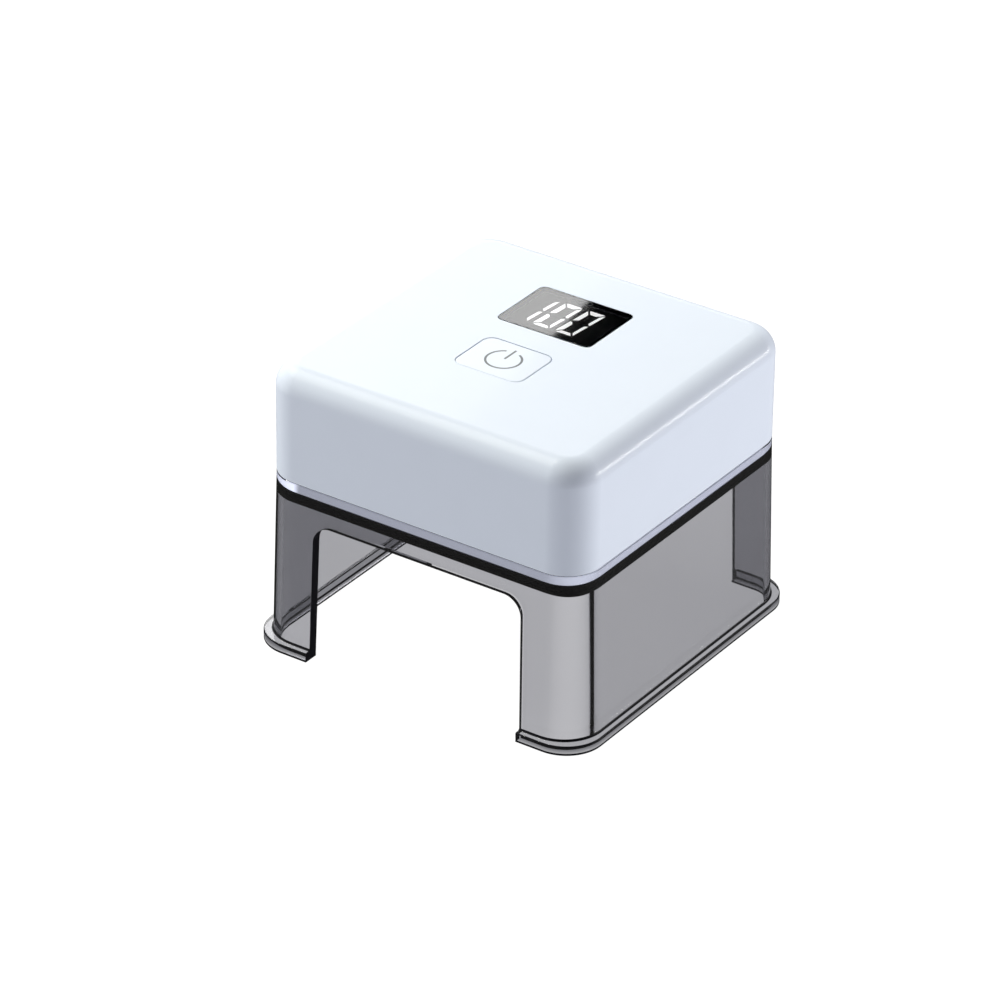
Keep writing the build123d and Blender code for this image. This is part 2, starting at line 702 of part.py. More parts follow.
def lead_socket(x):
    """A two-way socket under the board, open downwards."""
    body = block(LEAD_SOCKET_WIDTH, LEAD_SOCKET_DEPTH, x, PLUG_Y, LEAD_SOCKET_Z, BOARD_Z)
    room = 2 * LEAD_SOCKET_WALL
    return body - block(
        LEAD_SOCKET_WIDTH - room, LEAD_SOCKET_DEPTH - room, x, PLUG_Y,
        LEAD_SOCKET_Z - PAST, BOARD_Z - LEAD_SOCKET_WALL,
    )


def lead_plug(x):
    """The plug that carries two leads into its socket."""
    room = 2 * (LEAD_SOCKET_WALL + PLUG_GAP)
    return block(
        LEAD_SOCKET_WIDTH - room, LEAD_SOCKET_DEPTH - room, x, PLUG_Y, PLUG_Z, BOARD_Z - LEAD_SOCKET_WALL
    )


def screw(x, y, seat_z, length, pointing_up):
    """A pan head screw with a cross in its head. Its head bears on the face at seat_z."""
    head = Cylinder(SCREW_HEAD_R, SCREW_HEAD_HEIGHT, align=HANGING)
    slot = Pos(0, 0, -SCREW_HEAD_HEIGHT) * Box(CROSS_LENGTH, CROSS_WIDTH, 2 * CROSS_DEPTH)
    body = head - slot - Rot(0, 0, 90) * slot
    body += Cylinder(SCREW_R, length, align=STANDING)
    turn = Rot(0, 0, 0) if pointing_up else Rot(180, 0, 0)
    return Pos(x, y, seat_z) * turn * body


def cover_screws():
    length = COVER_TOP - SCREW_SEAT_Z + SCREW_BITE
    return [screw(x, y, SCREW_SEAT_Z, length, True) for x, y in cover_screw_places()]


def board_screws():
    length = BOARD_THICK + SCREW_BITE
    return [screw(x, y, BOARD_Z, length, True) for x, y in board_screw_places()]


def lamp_board_screws():
    length = LAMP_BOARD_THICK + REFLECTOR_FLANGE + LAMP_SCREW_BITE
    return [screw(x, y, LAMP_BOARD_TOP, length, False) for x, y in side_places(LAMP_SCREW_AT)]


def bottom_cover():
    """The black plate that closes the head, with a window for the lamp and a rim."""
    body = square_plate(COVER_HALF, COVER_R, LEDGE_BOTTOM, COVER_TOP + COVER_RIM_HEIGHT)
    rim_half = COVER_HALF - COVER_RIM
    body -= square_plate(rim_half, COVER_R - COVER_RIM, COVER_TOP, COVER_TOP + COVER_RIM_HEIGHT + PAST)
    body -= square_plate(LAMP_WINDOW_HALF, LAMP_WINDOW_R, LEDGE_BOTTOM - PAST, COVER_TOP + PAST)
    body -= loft([
        square_at(LAMP_WINDOW_HALF + COVER_BEZEL, LAMP_WINDOW_R + COVER_BEZEL, LEDGE_BOTTOM),
        square_at(LAMP_WINDOW_HALF, LAMP_WINDOW_R, LEDGE_BOTTOM + COVER_BEZEL),
    ], ruled=True)
    for x, y in cover_screw_places():
        body -= post(SCREW_R + SCREW_HOLE_GAP, x, y, LEDGE_BOTTOM - PAST, COVER_TOP + PAST)
        body -= post(SCREW_HEAD_R + SCREW_SINK_GAP, x, y, LEDGE_BOTTOM - PAST, SCREW_SEAT_Z)
    for x, y in side_places(LAMP_SCREW_AT):
        body -= post(SCREW_R + SCREW_HOLE_GAP, x, y, COVER_TOP - LAMP_SCREW_BITE, COVER_TOP + PAST)
    return body


def lamp_board_plate(bottom, top):
    """The square plate outline shared by the lamp board and the reflector's flange. Its
    corners are cut to clear the cover bosses, and it has its screw holes."""
    clear = math.sqrt(2) * (COVER_BOSS_R + BOSS_CLEARANCE)
    corner_cut = 2 * (LAMP_BOARD_HALF - COVER_BOSS_AT) + clear
    outline = Rectangle(2 * LAMP_BOARD_HALF, 2 * LAMP_BOARD_HALF)
    outline = chamfer(outline.vertices(), corner_cut)
    body = extrude(Pos(0, 0, bottom) * outline, amount=top - bottom)
    for x, y in side_places(LAMP_SCREW_AT):
        body -= post(SCREW_R + SCREW_HOLE_GAP, x, y, bottom - PAST, top + PAST)
    return body


def bead_places():
    """The grid of lamp beads, spread evenly over the reflector."""
    span = 2 * (LAMP_WINDOW_HALF - REFLECTOR_GAP)
    pitch_x = span / CUP_COLUMNS
    pitch_y = span / CUP_ROWS
    columns = [pitch_x * (index - (CUP_COLUMNS - 1) / 2) for index in range(CUP_COLUMNS)]
    rows = [pitch_y * (index - (CUP_ROWS - 1) / 2) for index in range(CUP_ROWS)]
    return [(x, y) for x in columns for y in rows]


def reflector():
    """The bright plate with a cone-shaped cup round each bead."""
    body = lamp_board_plate(COVER_TOP, LAMP_BOARD_Z)
    body += square_plate(
        LAMP_WINDOW_HALF - REFLECTOR_GAP, LAMP_WINDOW_R - REFLECTOR_GAP, REFLECTOR_Z, COVER_TOP
    )
    height = LAMP_BOARD_Z - REFLECTOR_Z
    for x, y in bead_places():
        body -= Pos(x, y, REFLECTOR_Z) * Cone(CUP_MOUTH_R, CUP_THROAT_R, height, align=STANDING)
    return body


def bead_packages():
    bottom = LAMP_BOARD_Z - BEAD_HEIGHT
    return [block(BEAD_SIDE, BEAD_SIDE, x, y, bottom, LAMP_BOARD_Z) for x, y in bead_places()]


def bead_domes():
    """The clear half ball on each bead."""
    half_ball = Sphere(DOME_R, arc_size1=-90, arc_size2=0, align=HANGING)
    return [Pos(x, y, LAMP_BOARD_Z - BEAD_HEIGHT) * half_ball for x, y in bead_places()]


NODES = {
    "smoked_stand": smoked_stand(),
    "head_shell": head_shell(),
    "display_window": display_window(),
    "display_housing": display_housing(),
    "lit_digit_bars": group(lit_bars()),
    "unlit_digit_bars": group(unlit_bars()),
    "display_pins": group(display_pins()),
    "power_key": power_key(),
    "power_symbol": group(power_symbol()),
    "switch_body": switch_body(),
    "switch_plunger": switch_plunger(),
    "main_board": main_board(),
    "board_screws": group(board_screws()),
    "control_chip": chip(CONTROL_CHIP_LENGTH, CONTROL_CHIP_X, CONTROL_CHIP_Y),
    "control_chip_pins": group(chip_pins(CONTROL_CHIP_PINS, CONTROL_CHIP_X, CONTROL_CHIP_Y)),
    "charge_chip": chip(CHARGE_CHIP_LENGTH, CHARGE_CHIP_X, CHARGE_CHIP_Y),
    "charge_chip_pins": group(chip_pins(CHARGE_CHIP_PINS, CHARGE_CHIP_X, CHARGE_CHIP_Y)),
    "inductor": inductor(),
    "capacitors": group(capacitors()),
    "resistors": group(resistors()),
    "usb_socket_shell": usb_socket_shell(),
    "usb_socket_tongue": usb_socket_tongue(),
    "battery_cell": battery_cell(),
    "battery_pad": battery_pad(),
    "battery_lead_red": battery_lead(1),
    "battery_lead_black": battery_lead(-1),
    "lamp_lead_red": lamp_lead(1),
    "lamp_lead_black": lamp_lead(-1),
    "lead_sockets": group([lead_socket(x) for x in (-PLUG_X, PLUG_X)]),
    "lead_plugs": group([lead_plug(x) for x in (-PLUG_X, PLUG_X)]),
    "lamp_board": lamp_board_plate(LAMP_BOARD_Z, LAMP_BOARD_TOP),
    "lamp_board_screws": group(lamp_board_screws()),
    "bead_packages": group(bead_packages()),
    "bead_domes": group(bead_domes()),
    "reflector": reflector(),
    "bottom_cover": bottom_cover(),
    "cover_screws": group(cover_screws()),
}

os.makedirs("parts", exist_ok=True)
for name, shape in NODES.items():
    export_step(shape, f"parts/{name}.step")
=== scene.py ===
"""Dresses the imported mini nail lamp: a white head with a lit display on a smoked see-through stand.

Pieces are modelled in millimetres and then brought to metres, in the frame of the CAD: +Z up, the origin on
the floor under the middle of the stand, the arched front facing -Y and the socket in the rear wall.
"""

import logging
import math
from dataclasses import dataclass, replace
from enum import Enum
from typing import Callable, Protocol, Sequence

import bpy
from mathutils import Matrix, Vector


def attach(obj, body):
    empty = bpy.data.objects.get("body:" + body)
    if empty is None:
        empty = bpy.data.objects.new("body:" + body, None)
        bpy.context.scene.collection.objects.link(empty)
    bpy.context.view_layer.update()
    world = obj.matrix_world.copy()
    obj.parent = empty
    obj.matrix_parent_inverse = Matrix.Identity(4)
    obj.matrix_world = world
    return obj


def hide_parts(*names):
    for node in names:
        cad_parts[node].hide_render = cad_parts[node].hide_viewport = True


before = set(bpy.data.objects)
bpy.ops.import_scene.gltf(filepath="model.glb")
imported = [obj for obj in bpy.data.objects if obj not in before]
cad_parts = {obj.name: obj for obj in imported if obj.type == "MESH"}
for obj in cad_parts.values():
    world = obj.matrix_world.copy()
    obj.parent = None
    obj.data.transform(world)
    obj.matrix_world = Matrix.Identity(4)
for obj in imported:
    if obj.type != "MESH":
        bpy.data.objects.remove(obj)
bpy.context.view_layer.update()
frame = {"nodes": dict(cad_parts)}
MILLIMETRE = 0.001
log = logging.getLogger("nail_lamp")

Pair = tuple[float, float]
Point = tuple[float, float, float]
Colour = tuple[float, float, float]
Element = bpy.types.MeshVertex | bpy.types.MeshEdge | bpy.types.MeshPolygon


class Body(Enum):
    """The bodies of the frame that new pieces ride on."""

    LAMP = "lamp"
    KEY = "key"


class Zone(Enum):
    """The zones of the stand's faces that are finished in their own way; two of them carry painted shade,
    near-black standing in for the dark edges and band of the clear plastic.
    """

    # Painted shade: arch cut faces near-black from outside
    SAWN = "sawn"
    # Painted shade: ledge faces and foot edges near-black from both sides
    INKED = "inked"
    RESTING = "resting"
    HELD = "held"

    @property
    def strength(self) -> float:
        """How much of the finish shows. A resting face touches the table in most places, not in all."""
        return 0.7 if self is Zone.RESTING else 1.0


class Cut(Enum):
    """What a second body does to the one it meets."""

    TAKE_AWAY = "DIFFERENCE"
    ADD = "UNION"


@dataclass(frozen=True)
class Outline:
    """A rounded rectangle at one height: half width, half depth, corner radius, height and middle."""

    half_x: float
    half_y: float
    corner: float
    z: float
    x: float = 0.0
    y: float = 0.0

    @staticmethod
    def square(half: float, corner: float, z: float) -> "Outline":
        """A rounded square on the Z axis."""
        return Outline(half, half, corner, z)

    def grown(self, margin: float, z: float) -> "Outline":
        """The same outline set outwards by a margin, at another height."""
        half_x, half_y, corner = (size + margin for size in (self.half_x, self.half_y, self.corner))
        return replace(self, half_x=half_x, half_y=half_y, corner=corner, z=z)

    def at(self, z: float) -> "Outline":
        """The same outline at another height."""
        return replace(self, z=z)


# Driving dimensions in millimetres, shared by pieces that meet
HEAD_HALF = 39.0
HEAD_CORNER = 8.0
HEAD_TOP = 64.8
STAND_TOP = 40.0
STAND_DRAFT = 1.5
LEDGE_TOP = 36.95
LEDGE_BOTTOM = 34.75
TONGUE_FLOOR = 36.6
TONGUE_GAP = 0.15
FRONT_TONGUE = 45.4
SIDE_TONGUE = 26.0
SIDE_TONGUE_Y = 10.0
WINDOW = Outline(11.45, 8.75, 1.4, 63.8, -0.6, 14.75)
WINDOW_GAP = 0.08
KEY_CAP = Outline(8.3, 6.85, 2.4, 62.5, -0.4, -8.05)
KEY_GAP = 0.09
COVER_TOP = LEDGE_BOTTOM + 2.5
SCREW_SEAT = LEDGE_BOTTOM + 1.5
COVER_SCREW_AT = 29.8
REFLECTOR_SCREW_AT = 30.0
PILOT_RADIUS = 1.05
BEAD_AREA_HALF = 25.7
BEAD_TOP = 38.25
SOCKET = Outline(4.47, 1.63, 1.51, 0.0)
SOCKET_GAP = 0.3
SOCKET_Z = 56.83

# How far a cutter reaches past what it cuts, and a short one past it or a joined part into what it meets
PAST = 1.0
OVERLAP = 0.3
# How far a part stays off a face that it would otherwise share, and how near two places count as one
OFF_FACE = 0.02
NEAR = 1e-3
# The least and the most of a normal along Z by which a face counts as level and as upright
LEVEL = 0.9
UPRIGHT = 0.1
# The least angle in degrees at which a small part's edges are rounded
ROUNDED_ANGLE = 40.0


# Modelling


def deselect() -> None:
    """Leaves edit mode with nothing selected."""
    if bpy.context.object is not None and bpy.context.object.mode != "OBJECT":
        done()
    bpy.ops.object.select_all(action="DESELECT")


def pick(*objects: bpy.types.Object) -> None:
    """Selects only some objects.

    Args:
        objects: The objects. The first becomes the active one.
    """
    deselect()
    for obj in objects:
        obj.select_set(True)
    bpy.context.view_layer.objects.active = objects[0]


def edit(obj: bpy.types.Object, select: str = "SELECT", kind: str = "VERT") -> None:
    """Enters edit mode on an object.

    Args:
        obj: The object to edit.
        select: SELECT or DESELECT, applied to the whole mesh.
        kind: What is selected: VERT, EDGE or FACE.
    """
    pick(obj)
    bpy.ops.object.mode_set(mode="EDIT")
    bpy.ops.mesh.select_mode(type=kind)
    bpy.ops.mesh.select_all(action=select)


def done() -> None:
    """Leaves edit mode."""
    bpy.ops.object.mode_set(mode="OBJECT")


def choose(obj: bpy.types.Object, kind: str, wanted: Callable[[Element], bool]) -> None:
    """Enters edit mode with only what a test accepts selected.

    Args:
        obj: The object to edit.
        kind: What is selected: VERT, EDGE or FACE.
        wanted: The test of one vertex, edge or face.
    """
    edit(obj, "DESELECT", kind)
    done()
    mesh = obj.data
    for element in {"VERT": mesh.vertices, "EDGE": mesh.edges, "FACE": mesh.polygons}[kind]:
        element.select = wanted(element)
    bpy.ops.object.mode_set(mode="EDIT")


def choose_edges(obj: bpy.types.Object, wanted: Callable[[Vector, Vector], bool]) -> None:
    """Enters edit mode with only the edges selected whose two ends pass a test."""
    points = obj.data.vertices
    choose(obj, "EDGE", lambda edge: wanted(*(points[index].co for index in edge.vertices)))


def bevel(width: float, steps: int, affect: str = "EDGES", clamped: bool = False) -> None:
    """Rounds what is selected in edit mode, and leaves it.

    Args:
        width: How far the rounding reaches.
        steps: Faces across it.
        affect: EDGES or VERTICES.
        clamped: Whether it stops short where roundings would overlap.
    """
    bpy.ops.mesh.bevel(
        offset_type="OFFSET", offset=width, segments=steps, profile=0.5, affect=affect, clamp_overlap=clamped
    )
    done()


def extrude(height: float) -> None:
    """Extrudes what is selected in edit mode along Z, and leaves it."""
    bpy.ops.mesh.extrude_region_move(TRANSFORM_OT_translate={"value": (0, 0, height)})
    done()


def scale(share_x: float, share_y: float, z: float) -> None:
    """Scales what is selected in edit mode along X and Y, about the Z axis, and leaves it."""
    bpy.ops.transform.resize(value=(share_x, share_y, 1.0), center_override=(0.0, 0.0, z))
    done()


def settle(obj: bpy.types.Object) -> None:
    """Puts an object's place, turn and scale into its mesh."""
    pick(obj)
    bpy.ops.object.transform_apply(location=True, rotation=True, scale=True)


def named(obj: bpy.types.Object, name: str) -> bpy.types.Object:
    """Gives an object and its mesh a name."""
    obj.name = obj.data.name = name
    return obj


def face_outwards(obj: bpy.types.Object) -> None:
    """Merges doubled points and turns every face outwards.

    Args:
        obj: The object.
    """
    edit(obj)
    bpy.ops.mesh.remove_doubles(threshold=1e-4)
    bpy.ops.mesh.normals_make_consistent(inside=False)
    done()


def rounded_face(outline: Outline, steps: int) -> bpy.types.Object:
    """A rounded rectangle as one face: a plane whose corners are rounded.

    Args:
        outline: The size and place of the face.
        steps: Edges in each rounded corner.

    Returns:
        The new object.
    """
    deselect()
    bpy.ops.mesh.primitive_plane_add(size=2.0, location=(outline.x, outline.y, outline.z))
    face = bpy.context.object
    face.scale = (outline.half_x, outline.half_y, 1.0)
    settle(face)
    edit(face)
    bevel(outline.corner, steps, "VERTICES")
    return face


def stacked(
    name: str, outlines: Sequence[Outline], steps: int = 16, capped: bool = True
) -> bpy.types.Object:
    """A closed body through a stack of rounded outlines, each bridged to the next.

    Args:
        name: The new object's name.
        outlines: The outlines in order, round the body's section.
        steps: Edges in each rounded corner.
        capped: True closes both ends with a face, False bridges the last outline to the first.

    Returns:
        The new object.
    """
    last = len(outlines) - 1
    rings = []
    for index, outline in enumerate(outlines):
        ring = rounded_face(outline, steps)
        if not (capped and index in (0, last)):
            edit(ring, "SELECT", "FACE")
            bpy.ops.mesh.delete(type="ONLY_FACE")
            done()
        group = ring.vertex_groups.new(name=f"ring_{index}")
        group.add(range(len(ring.data.vertices)), 1.0, "REPLACE")
        rings.append(ring)
    body = joined(name, rings)
    pairs = [(index, index + 1) for index in range(last)]
    if not capped:
        pairs.append((last, 0))
    for pair in pairs:
        edit(body, "DESELECT")
        for index in pair:
            bpy.ops.object.vertex_group_set_active(group=f"ring_{index}")
            bpy.ops.object.vertex_group_select()
        bpy.ops.mesh.bridge_edge_loops()
        done()
    body.vertex_groups.clear()
    face_outwards(body)
    return body


def rounded_block(name: str, low: Outline, top: float, steps: int) -> bpy.types.Object:
    """A rounded rectangular block: a face extruded upwards.

    Args:
        name: The new object's name.
        low: The lower outline.
        top: The height of the upper face.
        steps: Edges in each rounded corner.

    Returns:
        The new object.
    """
    body = named(rounded_face(low, steps), name)
    edit(body, "SELECT", "FACE")
    extrude(top - low.z)
    face_outwards(body)
    return body


def box(name: str, low: Point, high: Point) -> bpy.types.Object:
    """A block between two corners.

    Args:
        name: The new object's name.
        low: Its lowest corner.
        high: Its highest corner.

    Returns:
        The new object.
    """
    deselect()
    middle = [(a + b) / 2 for a, b in zip(low, high)]
    bpy.ops.mesh.primitive_cube_add(size=1.0, location=middle)
    body = bpy.context.object
    body.scale = [b - a for a, b in zip(low, high)]
    settle(body)
    return named(body, name)


def rod(
    name: str, radius: float, low: Point, height: float, sides: int, top: float | None = None
) -> bpy.types.Object:
    """An upright cylinder or cone.

    Args:
        name: The new object's name.
        radius: The radius at the lower end.
        low: The middle of the lower end.
        height: The height.
        sides: Sides round it.
        top: The radius at the upper end, or None for the same.

    Returns:
        The new object.
    """
    deselect()
    bpy.ops.mesh.primitive_cone_add(
        vertices=sides, radius1=radius, radius2=radius if top is None else top, depth=height,
        location=(low[0], low[1], low[2] + height / 2),
    )
    body = bpy.context.object
    settle(body)
    return named(body, name)


def flat_shape(name: str, points: Sequence[Pair], low: float, high: float, tip: float) -> bpy.types.Object:
    """A level slab of any outline: a disc with as many sides, each corner moved to its place.

    Args:
        name: The new object's name.
        points: The corners of the outline, in order.
        low: The height of the lower face.
        high: The height of the upper face.
        tip: The rounding of the corners, or 0 for none.

    Returns:
        The new object.
    """
    deselect()
    bpy.ops.mesh.primitive_circle_add(
        vertices=len(points), radius=1.0, fill_type="NGON", location=(0, 0, low)
    )
    slab = named(bpy.context.object, name)
    settle(slab)
    for index, (x, y) in enumerate(points):
        corner = slab.data.vertices[index].co
        step = (x - corner.x, y - corner.y, 0.0)
        choose(slab, "VERT", lambda vertex: vertex.index == index)
        bpy.ops.transform.translate(value=step)
        done()
    if tip > 0:
        edit(slab)
        bevel(tip, 4, "VERTICES")
    edit(slab, "SELECT", "FACE")
    extrude(high - low)
    face_outwards(slab)
    return slab


def combine(body: bpy.types.Object, tools: Sequence[bpy.types.Object], cut: Cut) -> None:
    """Cuts other bodies from one body, or adds them to it, and removes them.

    Args:
        body: The body that is changed.
        tools: The other bodies.
        cut: What they do to it.
    """
    if len(tools) > 1:
        joined(tools[0].name, tools)
    pick(body)
    modifier = body.modifiers.new(cut.name.lower(), "BOOLEAN")
    modifier.operation = cut.value
    modifier.solver = "EXACT"
    modifier.use_self = len(tools) > 1
    modifier.object = tools[0]
    bpy.ops.object.modifier_apply(modifier=modifier.name)
    bpy.data.objects.remove(tools[0])


def round_edges(obj: bpy.types.Object, width: float, steps: int) -> None:
    """Rounds every sharp edge.

    Args:
        obj: The object.
        width: The width of the rounding.
        steps: Faces across it.
    """
    pick(obj)
    modifier = obj.modifiers.new("edges", "BEVEL")
    modifier.width = width
    modifier.segments = steps
    modifier.limit_method = "ANGLE"
    modifier.angle_limit = math.radians(ROUNDED_ANGLE)
    modifier.miter_outer = "MITER_ARC"
    modifier.use_clamp_overlap = True
    bpy.ops.object.modifier_apply(modifier=modifier.name)


def smooth(obj: bpy.types.Object, angle: float) -> None:
    """Shades an object smooth, with its large flat faces kept flat.

    Args:
        obj: The object.
        angle: The angle between two faces up to which their edge is smooth, in degrees.
    """
    pick(obj)
    bpy.ops.object.shade_smooth_by_angle(angle=math.radians(angle))
    modifier = obj.modifiers.new("flat faces", "WEIGHTED_NORMAL")
    modifier.keep_sharp = True
    modifier.weight = 100
    bpy.ops.object.modifier_apply(modifier=modifier.name)


def sharp_edges(obj: bpy.types.Object, angle: float) -> set[int]:
    """The edges whose two faces meet at more than an angle.

    Args:
        obj: The object.
        angle: The angle in degrees.

    Returns:
        The edges' indices.
    """
    edit(obj, "DESELECT", "EDGE")
    bpy.ops.mesh.edges_select_sharp(sharpness=math.radians(angle))
    done()
    return {edge.index for edge in obj.data.edges if edge.select}


def copied(obj: bpy.types.Object, step: Point) -> bpy.types.Object:
    """A copy of an object with a mesh of its own.

    Args:
        obj: The object.
        step: How far the copy is moved.

    Returns:
        The copy.
    """
    pick(obj)
    bpy.ops.object.duplicate(linked=False)
    copy = bpy.context.object
    copy.location = Vector(step)
    settle(copy)
    return copy


def joined(name: str, objects: Sequence[bpy.types.Object]) -> bpy.types.Object:
    """Several objects made one.

    Args:
        name: Its name.
        objects: The objects.

    Returns:
        The first object, which holds the rest.
    """
    pick(*objects)
    bpy.ops.object.join()
    return named(bpy.context.object, name)


def laid_back(obj: bpy.types.Object, height: float) -> bpy.types.Object:
    """Turns an upright piece on the Z axis to point along +Y.

    Args:
        obj: The piece.
        height: How high it then lies.

    Returns:
        The piece.
    """
    obj.rotation_euler = (-math.pi / 2, 0.0, 0.0)
    settle(obj)
    obj.location = (0.0, 0.0, height)
    settle(obj)
    return obj


def arc(radius: float, steps: int) -> list[Pair]:
    """Points of a quarter arc as pairs: how far it has moved inwards, and how far up."""
    turns = [math.pi / 2 * index / steps for index in range(steps + 1)]
    return [(radius * (1 - math.cos(turn)), radius * math.sin(turn)) for turn in turns]


def eased(outline: Outline, edge: float, z: float) -> list[Outline]:
    """Three outlines that ease an edge in two small steps.

    Args:
        outline: The full outline.
        edge: The size of the eased edge, above zero for a lower edge and below zero for an upper one.
        z: The height of the piece's end.

    Returns:
        The outlines, from the end inwards.
    """
    size, bend = abs(edge), 0.3
    return [outline.grown(-size, z), outline.grown(-bend * size, z + bend * edge), outline.at(z + edge)]


def screw_hole(place: Pair, low: float, height: float) -> bpy.types.Object:
    """The cutter of a screw's hole."""
    return rod("screw_hole", PILOT_RADIUS, (*place, low), height, 24)


def corners(reach: float) -> list[Pair]:
    """The four corners of a square on the Z axis."""
    return [(x, y) for x in (-reach, reach) for y in (-reach, reach)]


def sides(reach: float) -> list[Pair]:
    """The middles of the four sides of a square."""
    return [(reach, 0.0), (-reach, 0.0), (0.0, reach), (0.0, -reach)]


def bead_places(columns: int = 4, rows: int = 3) -> list[Pair]:
    """The grid of the lamp beads, spread evenly over their square.

    Args:
        columns: Beads along X.
        rows: Beads along Y.

    Returns:
        The middle of each bead.
    """
    steps_x = [2 * BEAD_AREA_HALF / columns * (index - (columns - 1) / 2) for index in range(columns)]
    steps_y = [2 * BEAD_AREA_HALF / rows * (index - (rows - 1) / 2) for index in range(rows)]
    return [(x, y) for x in steps_x for y in steps_y]


def tongue_spans(near: float, far: float, gap: float = 0.0) -> list[tuple[Pair, Pair]]:
    """Where the four tongues that key the head into the stand lie.

    Args:
        near: The distance of their inner faces from the Z axis.
        far: The distance of their outer faces.
        gap: How much longer each is made at both ends.

    Returns:
        The lowest and highest corner of each, seen from above.
    """
    half = FRONT_TONGUE / 2 + gap
    low, high = SIDE_TONGUE_Y - SIDE_TONGUE / 2 - gap, SIDE_TONGUE_Y + SIDE_TONGUE / 2 + gap
    return [
        ((-half, -far), (half, -near)), ((-half, near), (half, far)),
        ((-far, low), (-near, high)), ((near, low), (far, high)),
    ]


# Finishes


class Recipe:
    """A node material under construction, read from Object coordinates."""

    def __init__(self, name: str) -> None:
        """Starts a material with one Principled shader.

        Args:
            name: The material's name.
        """
        self.material = bpy.data.materials.new(name)
        self.material.use_nodes = True
        self.tree = self.material.node_tree
        self.tree.nodes.clear()
        self.output = self.node("OutputMaterial")
        self.shader = self.node("BsdfPrincipled")
        self.feed(self.output.inputs["Surface"], self.shader.outputs["BSDF"])
        self.place = self.node("TexCoord").outputs["Object"]

    def node(self, kind: str, **settings: object) -> bpy.types.Node:
        """Adds a node and sets its properties and inputs.

        Args:
            kind: The node's type, without ShaderNode in front.
            settings: Properties by name, or inputs by name with spaces as underscores.

        Returns:
            The node.
        """
        node = self.tree.nodes.new(f"ShaderNode{kind}")
        for key, value in settings.items():
            if hasattr(node, key):
                setattr(node, key, value)
            else:
                self.feed(node.inputs[key.replace("_", " ")], value)
        return node

    def feed(self, socket: bpy.types.NodeSocket, value: object) -> None:
        """Feeds a socket.

        Args:
            socket: The socket.
            value: Another socket to link, or a value to set.
        """
        if isinstance(value, bpy.types.NodeSocket):
            self.tree.links.new(value, socket)
        else:
            socket.default_value = value

    def set(self, **inputs: object) -> None:
        """Sets or links inputs of the Principled shader, by name with spaces as underscores."""
        for key, value in inputs.items():
            self.feed(self.shader.inputs[key.replace("_", " ")], value)

    def noise(self, size: float, detail: float, stretch: Point = (1.0, 1.0, 1.0)) -> bpy.types.NodeSocket:
        """Noise whose features are about so many millimetres across.

        Args:
            size: The size of a feature in millimetres.
            detail: Octaves of finer noise.
            stretch: How many times longer a feature is along each axis.

        Returns:
            The noise's value socket.
        """
        mapping = self.node("Mapping", Vector=self.place, Scale=tuple(1 / s for s in stretch))
        noise = self.node("TexNoise", Vector=mapping.outputs[0], Scale=1 / (size * MILLIMETRE), Detail=detail)
        return noise.outputs["Fac"]

    def zone(self, zone: Zone) -> bpy.types.NodeSocket:
        """The face attribute that marks a zone: its strength on its faces, 0 elsewhere."""
        return self.node("Attribute", attribute_name=zone.value).outputs["Fac"]

    def sum(self, operation: str, *values: bpy.types.NodeSocket | float) -> bpy.types.NodeSocket:
        """One math operation.

        Args:
            operation: Its name in the Math node.
            values: The sockets or numbers that it works on.

        Returns:
            The result's socket.
        """
        node = self.node("Math", operation=operation)
        for socket, value in zip(node.inputs, values):
            self.feed(socket, value)
        return node.outputs[0]

    def let_through(self, share: bpy.types.NodeSocket) -> None:
        """Blends the surface with one that lets light straight through.

        Args:
            share: The share of light let through.
        """
        mix = self.node("MixShader", Fac=share)
        self.feed(mix.inputs[1], self.shader.outputs[0])
        self.feed(mix.inputs[2], self.node("BsdfTransparent").outputs[0])
        self.feed(self.output.inputs["Surface"], mix.outputs[0])

    def blend(self, value: bpy.types.NodeSocket, low: Colour, high: Colour) -> bpy.types.NodeSocket:
        """A noise value turned into a blend of two colours.

        Args:
            value: The noise's socket.
            low: The colour where the noise is low.
            high: The colour where it is high.

        Returns:
            The colour's socket.
        """
        ramp = self.node("ValToRGB", Fac=value)
        first, last = ramp.color_ramp.elements
        first.position, last.position = NOISE_RANGE
        first.color, last.color = (*low, 1.0), (*high, 1.0)
        return ramp.outputs["Color"]

    def span(self, value: bpy.types.NodeSocket, low: float, high: float) -> bpy.types.NodeSocket:
        """A noise value spread over another range.

        Args:
            value: The noise's socket.
            low: The result where the noise is low.
            high: The result where it is high.

        Returns:
            The result's socket.
        """
        least, most = NOISE_RANGE
        spread = self.node("MapRange", Value=value, From_Min=least, From_Max=most, To_Min=low, To_Max=high)
        return spread.outputs["Result"]

    def relief(self, height: bpy.types.NodeSocket, depth: float) -> bpy.types.NodeSocket:
        """A bump from a height socket, so many millimetres deep."""
        bump = self.node("Bump", Height=height, Distance=depth * MILLIMETRE, Strength=1.0)
        return bump.outputs["Normal"]


def shade(colour: Colour, factor: float) -> Colour:
    """A colour made darker or lighter, kept within 0 and 1."""
    return tuple(min(1.0, max(0.0, part * factor)) for part in colour)


class Finish(Protocol):
    """A finish that a piece can be dressed in."""

    def material(self) -> bpy.types.Material:
        """Builds the material."""


